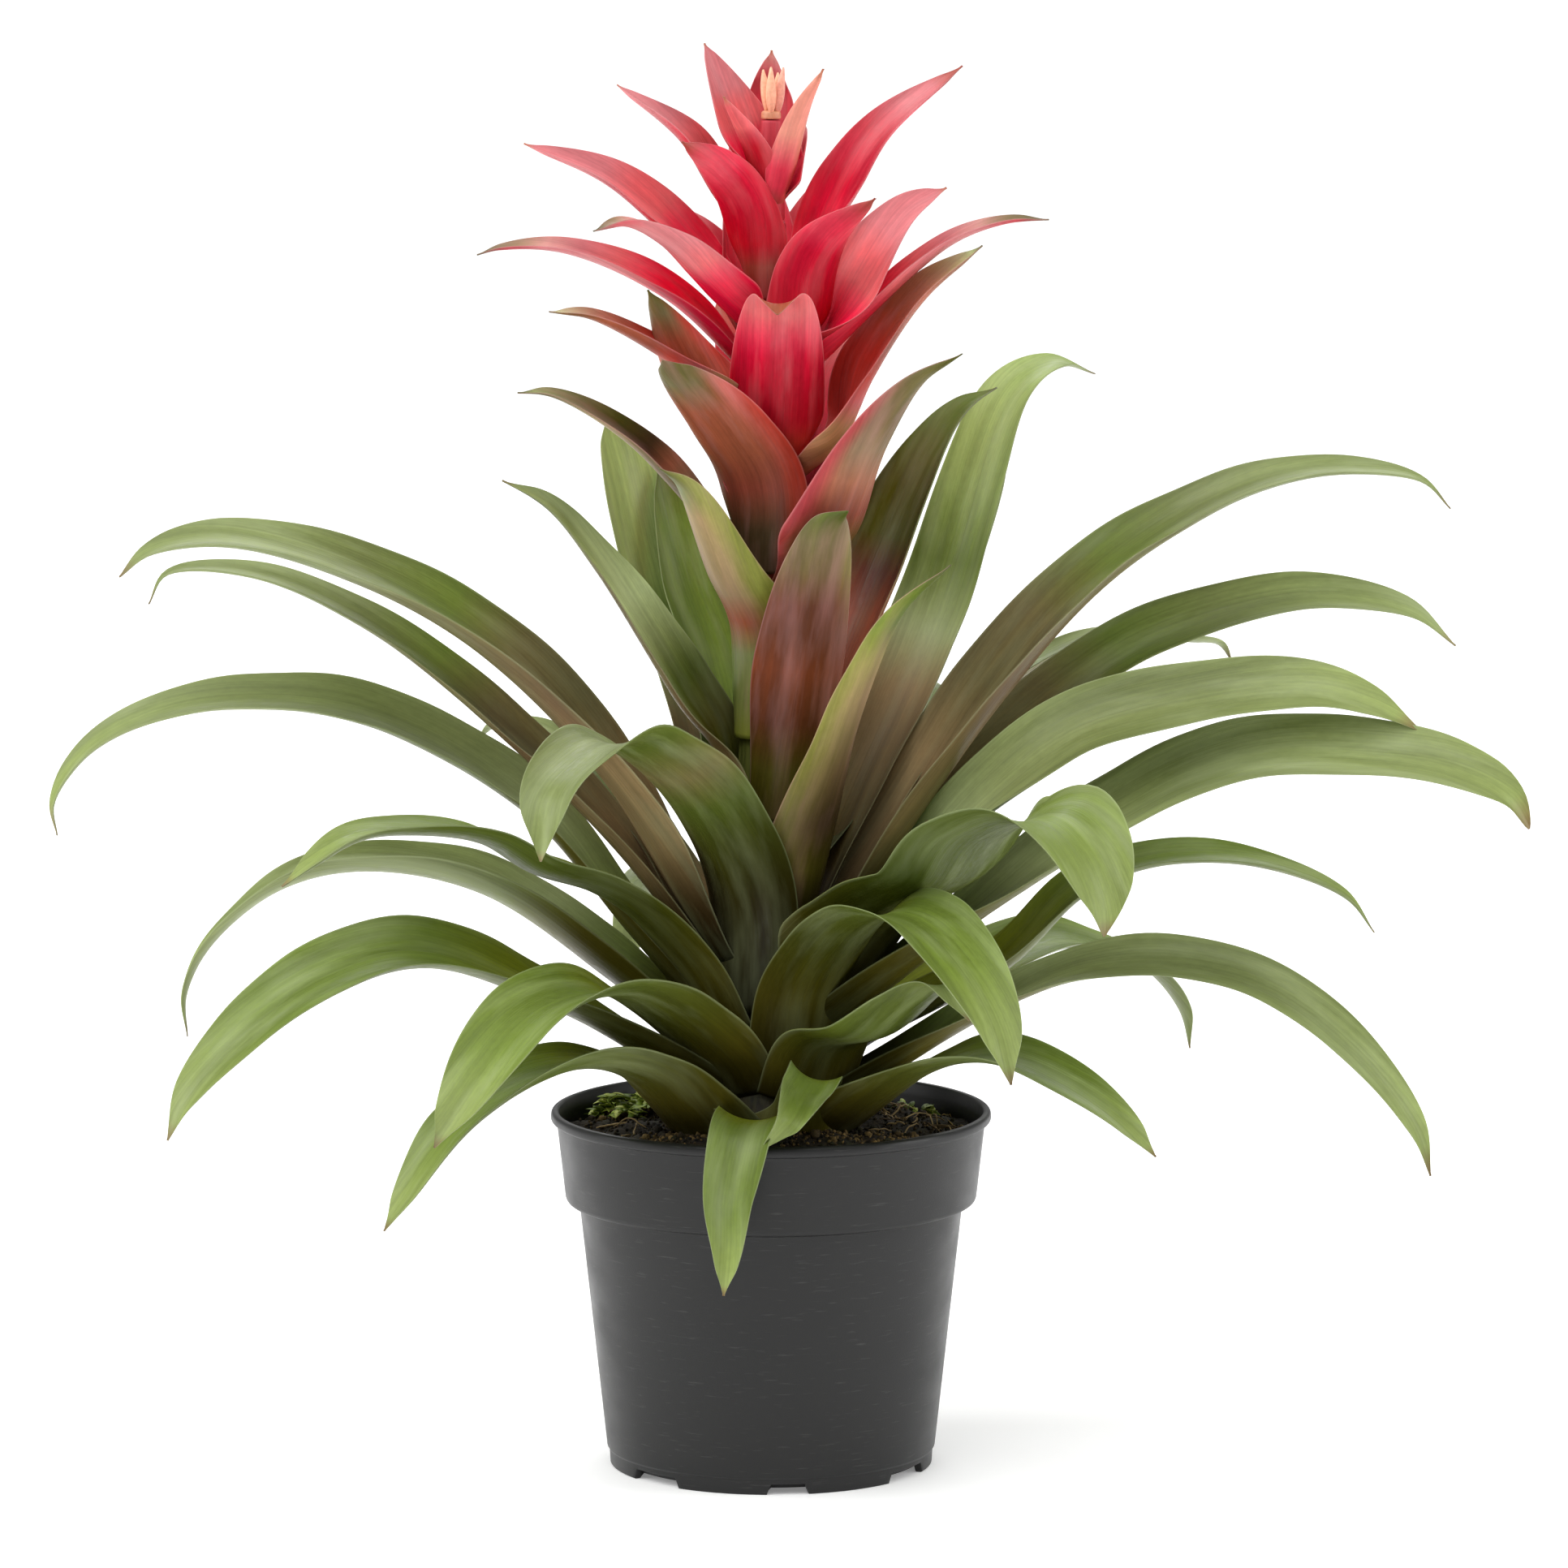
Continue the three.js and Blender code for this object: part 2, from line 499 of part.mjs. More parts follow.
// The stem and its tight sheaths, made bigger by grow for cutting clear of it.
function stemSolid(grow) {
  const last = STEM.length - 1;
  const profile = STEM.map(([r, z], i) => {
    if (i < 2) return [r && r + grow, z - grow];
    return [i === last ? 0 : r + grow, i >= last - 1 ? z + grow : z];
  });
  return solidOf(turned(profile, STEM_SIDES));
}

// Axis of the tuft at the top.
function tuftCore(grow) {
  const last = TUFT_CORE.length - 1;
  const sides = TUFT_CORE.map(([r, z], i) => [r + grow, i === 0 ? z - grow : i === last ? z + grow : z]);
  const profile = [[0, sides[0][1]], ...sides, [0, sides[last][1]]];
  return solidOf(turned(profile, STEM_SIDES));
}

// Florets: spindle buds standing on one small disc.
function floretSolid() {
  const disc = [[0, DISC.foot], [DISC.radius, DISC.foot], [DISC.radius, DISC.top], [0, DISC.top]];
  const middle = turned(BUD, BUD_SIDES).translate(0, 0, DISC.top);
  const parts = [solidOf(turned(disc, DISC.sides)), solidOf(middle)];
  for (let i = 1; i < BUDS; i++) {
    const bud = turned(BUD, BUD_SIDES).rotateY(rad(BUD_LEAN));
    bud.translate(BUD_REACH, 0, DISC.top - BUD_SINK[i % 2]);
    parts.push(solidOf(bud.rotateZ(rad(BUD_TURN + (360 / BUDS) * i))));
  }
  return wasm.Manifold.union(parts);
}

// True where the boxes round two solids meet.
function near(a, b) {
  const p = a.boundingBox();
  const q = b.boundingBox();
  return p.min.every((low, i) => low < q.max[i] && q.min[i] < p.max[i]);
}

// Every body of blades as a name and its rows, the highest root first.
function bladeBodies() {
  const joined = [["bract_tuft", CROWN], ["bracts_back_top", BACK_TOP], ["bracts_back_mid", BACK_MID]];
  const single = BLADES.map(([name, ...row]) => [name, [row]]);
  const rootHeight = ([, rows]) => rows[0][3][0][1];
  return [...joined, ...single].sort((a, b) => rootHeight(b) - rootHeight(a));
}

// One body of blades; the tuft also has its axis.
function bodySolid(rows, grow) {
  const blades = joinedBlades(rows, grow);
  return rows === CROWN ? blades.add(tuftCore(grow)) : blades;
}

// Every piece as a named solid. A blade is cut clear of the pieces made before it: the soil, the stem
// and the blades that start higher up, which it wraps.
function allSolids() {
  const solids = new Map();
  const cutters = [soilSolid(GAP), stemSolid(GAP)];
  solids.set("pot", potSolid());
  solids.set("soil", soilSolid(0).subtract(stemSolid(GAP)));
  solids.set("stem", stemSolid(0));
  for (const [name, rows] of bladeBodies()) {
    const body = bodySolid(rows, 0);
    const cut = cutters.filter((cutter) => near(cutter, body));
    solids.set(name, largest(cut.length ? body.subtract(wasm.Manifold.union(cut)) : body));
    cutters.push(bodySolid(rows, GAP));
  }
  const tuft = bodySolid(CROWN, GAP);
  solids.set("florets", largest(floretSolid().subtract(tuft)));
  return solids;
}

// Colour and roughness of each piece, by the start of its name.
const LOOKS = [
  ["pot", "#3b3d40", 0.45],
  ["soil", "#2e2118", 0.95],
  ["stem", "#4c5a2a", 0.6],
  ["florets", "#e8b070", 0.5],
  ["leaf", "#5c8a36", 0.4],
  ["bract_low", "#8c5a3c", 0.4],
  ["bract_mid", "#b04a48", 0.4],
  ["bract", "#d8455e", 0.4],
];

const plant = new THREE.Group();
for (const [name, solid] of allSolids()) {
  const [, color, roughness] = LOOKS.find(([start]) => name.startsWith(start));
  const mesh = new THREE.Mesh(geometryOf(solid), new THREE.MeshStandardMaterial({ color, roughness }));
  mesh.name = name;
  plant.add(mesh);
}

export default plant;
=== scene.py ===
"""Potted flowering bromeliad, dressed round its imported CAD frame. Blender 4.5.

Blades and the pot are given in millimetres, as in the part's source, and become metres when a mesh is made.
Azimuths are degrees seen from above: 0 is +X, 90 is +Y (the back), 270 is -Y (the front).
"""

import math

import bmesh
import bpy
import numpy as np
from mathutils import Matrix, Vector


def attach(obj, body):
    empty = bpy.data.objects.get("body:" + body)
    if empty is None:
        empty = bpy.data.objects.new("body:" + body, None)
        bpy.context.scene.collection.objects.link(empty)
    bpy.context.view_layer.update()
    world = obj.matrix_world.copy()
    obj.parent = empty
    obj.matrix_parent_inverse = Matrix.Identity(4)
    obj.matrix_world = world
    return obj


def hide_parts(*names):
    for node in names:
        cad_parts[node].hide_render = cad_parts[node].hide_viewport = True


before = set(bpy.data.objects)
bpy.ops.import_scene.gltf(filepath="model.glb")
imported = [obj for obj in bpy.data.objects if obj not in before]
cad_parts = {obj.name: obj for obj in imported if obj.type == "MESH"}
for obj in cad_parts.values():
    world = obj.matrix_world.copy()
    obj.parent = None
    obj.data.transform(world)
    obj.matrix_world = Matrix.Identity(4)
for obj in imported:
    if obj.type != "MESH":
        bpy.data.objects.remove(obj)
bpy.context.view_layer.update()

MM = 0.001
SEED = 7
# Second number of each random draw's seed. A blade's own is its place in the table.
GROUP_DRAW = 100
STEM_DRAW = 300
SOIL_DRAW = 305
CRUMB_DRAW = 310
FIBRE_DRAW = 320
SPRIG_DRAW = 330

# Camera of the photograph: distance and height of the eye, what it looks at, and the frame's scale.
PHOTO_SIDE = 1932
EYE_DISTANCE = 2750
EYE_HEIGHT = 612
AIM_HEIGHT = 243
FOCAL_PIXELS = 10103
AXIS_PIXEL = (950, 931.5)
SENSOR = 36

# Pot: a nursery pot 15 cm across the lip.
POT_HEIGHT = 122
LIP_RADIUS = 75
LIP_DROP = 4
BAND_RADIUS = 72.9
BAND_FOOT_RADIUS = 70
BAND_FOOT_Z = 91
BODY_RADIUS = 65.3
BODY_FOOT_RADIUS = 56
FOOT_RADIUS = 55
FOOT_HEIGHT = 6
WALL = 1.6
FLOOR_Z = 4
NOTCHES = 7
NOTCH_HEIGHT = 3.6
NOTCH_WIDTHS = (13, 21)
NOTCH_TURN = 276.4
POT_STEP = 1.5

# Soil, and the ring on which loose things lie.
SOIL_Z = 113
SOIL_CROWN_Z = 116
SOIL_RADIUS = 70.6
SOIL_FOOT_Z = 8

# Stem with its tight inner sheaths: radius and height.
STEM = [
    (24, 105), (30, 112), (29, 122), (25, 137), (21.5, 152), (18.5, 167), (16, 185),
    (13, 215), (10.5, 255), (8.5, 300), (7, 350), (6, 395), (5, 424),
]
TUFT_CORE = [(4.7, 424.3), (4.4, 442), (3.4, 458)]

# Florets: a disc and the buds that stand on it.
DISC_FOOT_Z = 458.3
DISC_TOP_Z = 461.2
DISC_RADIUS = 3.4
DISC_COLOUR = "#cf8f6c"
BUDS = 5
BUD_FOOT_Z = 460.2
MIDDLE_BUD_HEIGHT = 15.4
BUD_HEIGHT = 13.5
BUD_RADIUS = 1.9
BUD_LEAN = 8
BUD_REACH = 2.2
BUD_TURN = 200
BUD_COLOURS = ["#f2bf9c", "#efb08e", "#eaa58f"]

# How finely a blade is made, and how it differs from an even sheet.
STATIONS = 84
ACROSS = 22
EDGE_THICKNESS = 0.35
MARGIN_WAVE = 0.45
MARGIN_WAVE_LENGTHS = (38, 90)
TIP_WIDTH = 0.7
# Where in the skin's noise the lower face and each blade lie, so that no two look alike.
LOWER_LAYER = 90
LAYER_SPREAD = 300

# Shape of a blade: thickness, how its width ends (taper, blunt), narrowing towards the tip (fall), half angle
# of its channel in degrees (cup, tip_cup), half angle of the sheath round the stem (wrap) and the share of
# the length the sheath takes (neck).
LEAF = dict(thick=0.9, taper=5, blunt=0.8, fall=0.34, cup=42, tip_cup=30, wrap=48, neck=0.22)
BACK_LEAF = dict(LEAF, cup=50)
BRACT = dict(thick=0.8, taper=1.9, blunt=0.95, fall=0, cup=50, tip_cup=45, wrap=62, neck=0.28)

# Heaps in the soil: x, y, half width, half depth and rise. Then what lies on it.
SOIL_HEAPS = [(-33, -32, 13, 10, 3.6), (13, -34, 15, 10, 3.8), (42, -30, 12, 12, 2), (-50, 26, 10, 10, 2.4),
              (30, 26, 16, 12, 2)]
CRUMBS = 3400
LARGE_CRUMBS = 130
CRUMB_REACH = 69
CRUMB_COLOURS = ["#1a1408", "#241c0c", "#2f2511", "#3b2e17", "#130f06", "#2b2a10", "#4a3c20"]
HEAP_COLOURS = ["#5f4c28", "#725d34", "#4a3b1e", "#332813", "#856c40"]
FIBRES = 90
FIBRE_REACH = 68.5
FIBRE_COLOURS = ["#8a744a", "#a38a5a", "#6b5634", "#b39a6c", "#574528"]
SPRIG_COLOURS = ["#6b8020", "#83962c", "#9aa83c", "#566a1a", "#adb654"]
SPRIG_REACH = 64
# Clumps of sprigs: x, y, spread, how many, length of a sprig and of its leaves.
SPRIG_CLUMPS = [(-50, 34, 6, 16, 15, 5), (-38, 44, 5, 7, 13, 4.5), (52, 36, 3, 3, 12, 4.5),
                (28, 16, 4, 4, 9, 3.5)]

# Light: sky and sun strength, then the soft lights: place and size in metres, and power.
FLOOR_HALF = 30000
LIGHT_AIM = (0, 0, 0.25)
SKY = 0.4
SUN = 2.1
SUN_WIDTH = 70
SUN_PLACE = (-0.8, -1.3, 3)
FLOOR_GLOW = 0.2
AREA_LIGHTS = [
    ("left_light", (-2.3, -0.5, 1.5), (1.6, 2.4), 42),
    ("right_light", (2.4, -0.4, 1.2), (1.2, 2.2), 30),
    ("back_light", (0.2, 2.6, 2.4), (2.6, 1.2), 34),
]

# Colours by name. A blade's paint is made of these, mixed in display values.
PALETTE = {
    # The colour shade is painted shade: the dark deep in the rosette at the roots of the blades.
    "shade": "#171303", "umber": "#2f2908", "earth": "#40301a", "peat brown": "#544d14", "plum": "#6c553b",
    "bracken": "#706740", "olive brown": "#6b5a34", "buff": "#85704e", "sand": "#a28a62", "straw": "#a39a5c",
    "olive": "#434610", "moss": "#4a5008", "moss lime": "#7a8420", "deep green": "#4e5a1f",
    "leaf green": "#5d7326", "fern": "#66782f", "sage": "#69733f", "willow": "#6f7a46", "reed": "#7a8650",
    "tip green": "#818e50", "fresh green": "#718834", "grey green": "#87925c", "light green": "#8c9f58",
    "pale green": "#a9b680", "lime": "#87962f", "dry": "#6e5638", "dark tip": "#5a5a3c",
    "wine": "#7c2219", "blood": "#980a1c", "scarlet": "#b70b22", "crimson": "#c8082f", "cherry": "#ea1440",
    "red brown": "#5f301b", "russet": "#77391f", "brick": "#8c4232", "rust": "#a2553a",
    "vermilion": "#c43a2e", "clay": "#a96a4e", "raspberry": "#c03a46", "rose": "#d8344b",
    "coral": "#dc6366", "dusty pink": "#cb7478", "pink": "#e0868a", "blush": "#cf958c",
    "peach": "#e2937f", "apricot": "#e0a878",
}
PAINT_GAMMA = 2.2
UNDER_PAINT = "#808080"


def coat(upper, lower, *washes):
    """A blade's paint: the colours of its upper (inner) and lower (outer) face, then washes over both.

    A face is "percent colour, ..." from root to tip. A wash is a colour, from and to where across the blade
    (-1 to 1), from and to where along it (0 to 1), and its strength.
    """
    faces = [[stop.split(" ", 1) for stop in face.split(", ")] for face in (upper, lower)]
    upper, lower = [[(float(percent) / 100, name) for percent, name in face] for face in faces]
    return dict(upper=upper, lower=lower, washes=washes)


# Each face darkens towards its root: painted shade deep in the rosette. A little above the root many faces
# are painted lighter (buff, sand, moss lime, light and pale green, cherry): painted light that lifts the
# shade the rosette casts there.
PAINTS = {
    "long_leaf": coat(
        "0 umber, 15 earth, 32 deep green, 50 reed, 65 willow, 98.5 willow, 100 dry",
        "0 shade, 18 umber, 40 deep green, 50 bracken, 65 deep green, 97 grey green, 100 dry"),
    "brown_leaf": coat(
        "0 earth, 12 buff, 25 sand, 36 bracken, 46 bracken, 56 fern, 68 sage, 80 reed, 97 reed, 100 dry",
        "0 shade, 8 earth, 17 buff, 27 buff, 40 plum, 55 bracken, 75 sage, 97 grey green, 100 dry"),
    "low_leaf": coat(
        "0 olive, 15 moss lime, 35 moss lime, 48 fern, 75 fern, 97 tip green, 100 dry",
        "0 umber, 12 peat brown, 28 olive, 50 deep green, 75 deep green, 88 sage, 98 reed, 100 dry"),
    "bright_leaf": coat(
        "0 umber, 8 olive, 17 light green, 30 pale green, 40 grey green, 55 willow, 66 willow, 80 reed, "
        "96 tip green, 100 dry",
        "0 umber, 12 peat brown, 25 peat brown, 38 sage, 55 willow, 75 grey green, 97 grey green, 100 dry"),
    "pale_leaf": coat(
        "0 earth, 15 olive brown, 28 buff, 36 sand, 45 pale green, 56 fern, 67 light green, "
        "96 light green, 100 dry",
        "0 umber, 25 plum, 50 sage, 97 grey green, 100 dry"),
    "fresh_leaf": coat(
        "0 umber, 20 deep green, 45 fresh green, 62 leaf green, 85 leaf green, 98 deep green, 100 dry",
        "0 umber, 40 sage, 97 grey green, 100 dry"),
    # The grey and pale greens in the middle of the upper face are a painted sheen on a dark green leaf.
    "silver_sheen_leaf": coat(
        "0 moss, 22 moss lime, 35 peat brown, 46 deep green, 56 grey green, 65 pale green, "
        "76 grey green, 86 sage, 97 reed, 100 dry",
        "0 moss, 35 olive brown, 46 buff, 70 sage, 100 dark tip",
        ("plum", 0.6, 1, 0.1, 0.8, 0.8)),
    "moss_leaf": coat(
        "0 brick, 25 rust, 36 rust, 47 red brown, 56 moss, 70 moss, 85 leaf green, 96 fern, 100 dark tip",
        "0 red brown, 40 brick, 60 moss, 100 dark tip"),
    "green_red": coat(
        "0 olive, 30 lime, 60 fresh green, 100 dark tip",
        "0 umber, 10 peat brown, 22 earth, 35 plum, 45 buff, 55 sand, 65 straw, 76 reed, 87 fern, "
        "100 dark tip",
        ("lime", 0, -0.8, 0.1, 0.85, 0.5),
        ("coral", 0.7, 1, 0.2, 0.7, 0.5)),
    "brown_head": coat(
        "0 umber, 40 red brown, 80 olive, 100 dark tip",
        "0 peat brown, 15 peat brown, 30 red brown, 45 russet, 56 red brown, 65 red brown, "
        "76 olive brown, 86 bracken, 97 deep green",
        # The straw wash on the right side is a painted highlight.
        ("straw", 0.4, 1, 0.6, 0.85, 0.5)),
    "green_flank": coat(
        "0 olive, 40 lime, 80 fresh green, 100 dark tip",
        "0 moss lime, 12 leaf green, 25 willow, 36 rust, 47 sand, 75 sand, 86 willow, 96 deep green, "
        "100 dark tip",
        ("lime", 0.1, 0.7, 0.1, 0.95, 0.7)),
    "dark_bract": coat(
        "0 olive brown, 35 sand, 45 clay, 54 earth, 66 olive, 76 bracken, 95 grey green, 100 dark tip",
        "0 umber, 40 olive brown, 55 buff, 70 sand, 100 dark tip"),
    "straw_bract": coat(
        "0 red brown, 30 straw, 60 olive brown, 100 dark tip",
        "0 olive, 20 peat brown, 34 brick, 45 clay, 56 buff, 66 olive brown, 86 bracken, 100 olive",
        ("raspberry", -0.6, -0.97, 0, 0.75, 0.8),
        ("coral", 0.6, 1, 0.1, 0.7, 0.6)),
    "brown_bract": coat(
        "0 red brown, 50 brick, 85 olive, 100 dark tip",
        "0 earth, 15 earth, 30 brick, 45 rust, 70 rust, 86 bracken, 100 peat brown",
        ("vermilion", 0.45, 0.98, 0.1, 0.85, 0.85)),
    "wine_bract": coat(
        "0 vermilion, 50 vermilion, 66 rust, 76 clay, 86 sand, 96 pale green, 100 dark tip",
        "0 brick, 10 clay, 20 apricot, 27 apricot, 36 coral, 45 vermilion, 56 brick, 78 rust, "
        "100 olive brown"),
    "heart_bract": coat(
        "0 blood, 50 crimson, 95 rust",
        "0 brick, 16 vermilion, 27 scarlet, 55 crimson, 66 rose, 78 coral, 93 coral, 100 bracken"),
    "red_bract": coat(
        "0 scarlet, 20 cherry, 36 cherry, 46 crimson, 64 raspberry, 78 dusty pink, 88 dusty pink, "
        "100 brick",
        "0 wine, 14 brick, 24 scarlet, 45 crimson, 55 crimson, 65 rose, 76 rose, 87 raspberry, 100 brick"),
    "rose_bract": coat(
        "0 crimson, 15 cherry, 38 cherry, 55 coral, 67 dusty pink, 78 blush, 87 buff, 100 dark tip",
        "0 crimson, 15 cherry, 33 cherry, 46 coral, 60 dusty pink, 78 dusty pink, 90 raspberry, "
        "100 dark tip"),
    "pink_bract": coat(
        "0 crimson, 20 cherry, 32 cherry, 46 coral, 58 coral, 70 dusty pink, 96 dusty pink, 100 clay",
        "0 blood, 20 scarlet, 45 scarlet, 58 raspberry, 75 dusty pink, 95 dusty pink, 100 clay"),
    "blush_bract": coat(
        "0 scarlet, 30 cherry, 55 rose, 76 raspberry, 86 pink, 96 blush, 100 clay",
        "0 blood, 25 scarlet, 45 scarlet, 56 raspberry, 66 coral, 90 coral, 100 clay",
        ("peach", 0.4, 0, 0.2, 0.7, 0.2)),
    "peach_bract": coat(
        "0 crimson, 40 rose, 80 pink, 100 brick",
        "0 brick, 15 rose, 27 rose, 36 coral, 50 peach, 90 peach, 100 clay",
        ("apricot", 0, 0.6, 0, 0.5, 0.4)),
}


def blade(name, kind, azimuth, width, midrib, paint, **changes):
    """One row of a table of blades. The midrib is (radius, height[, sideways]) at each knot."""
    return dict(kind, name=name, azimuth=azimuth, width=width, midrib=midrib, paint=paint, **changes)


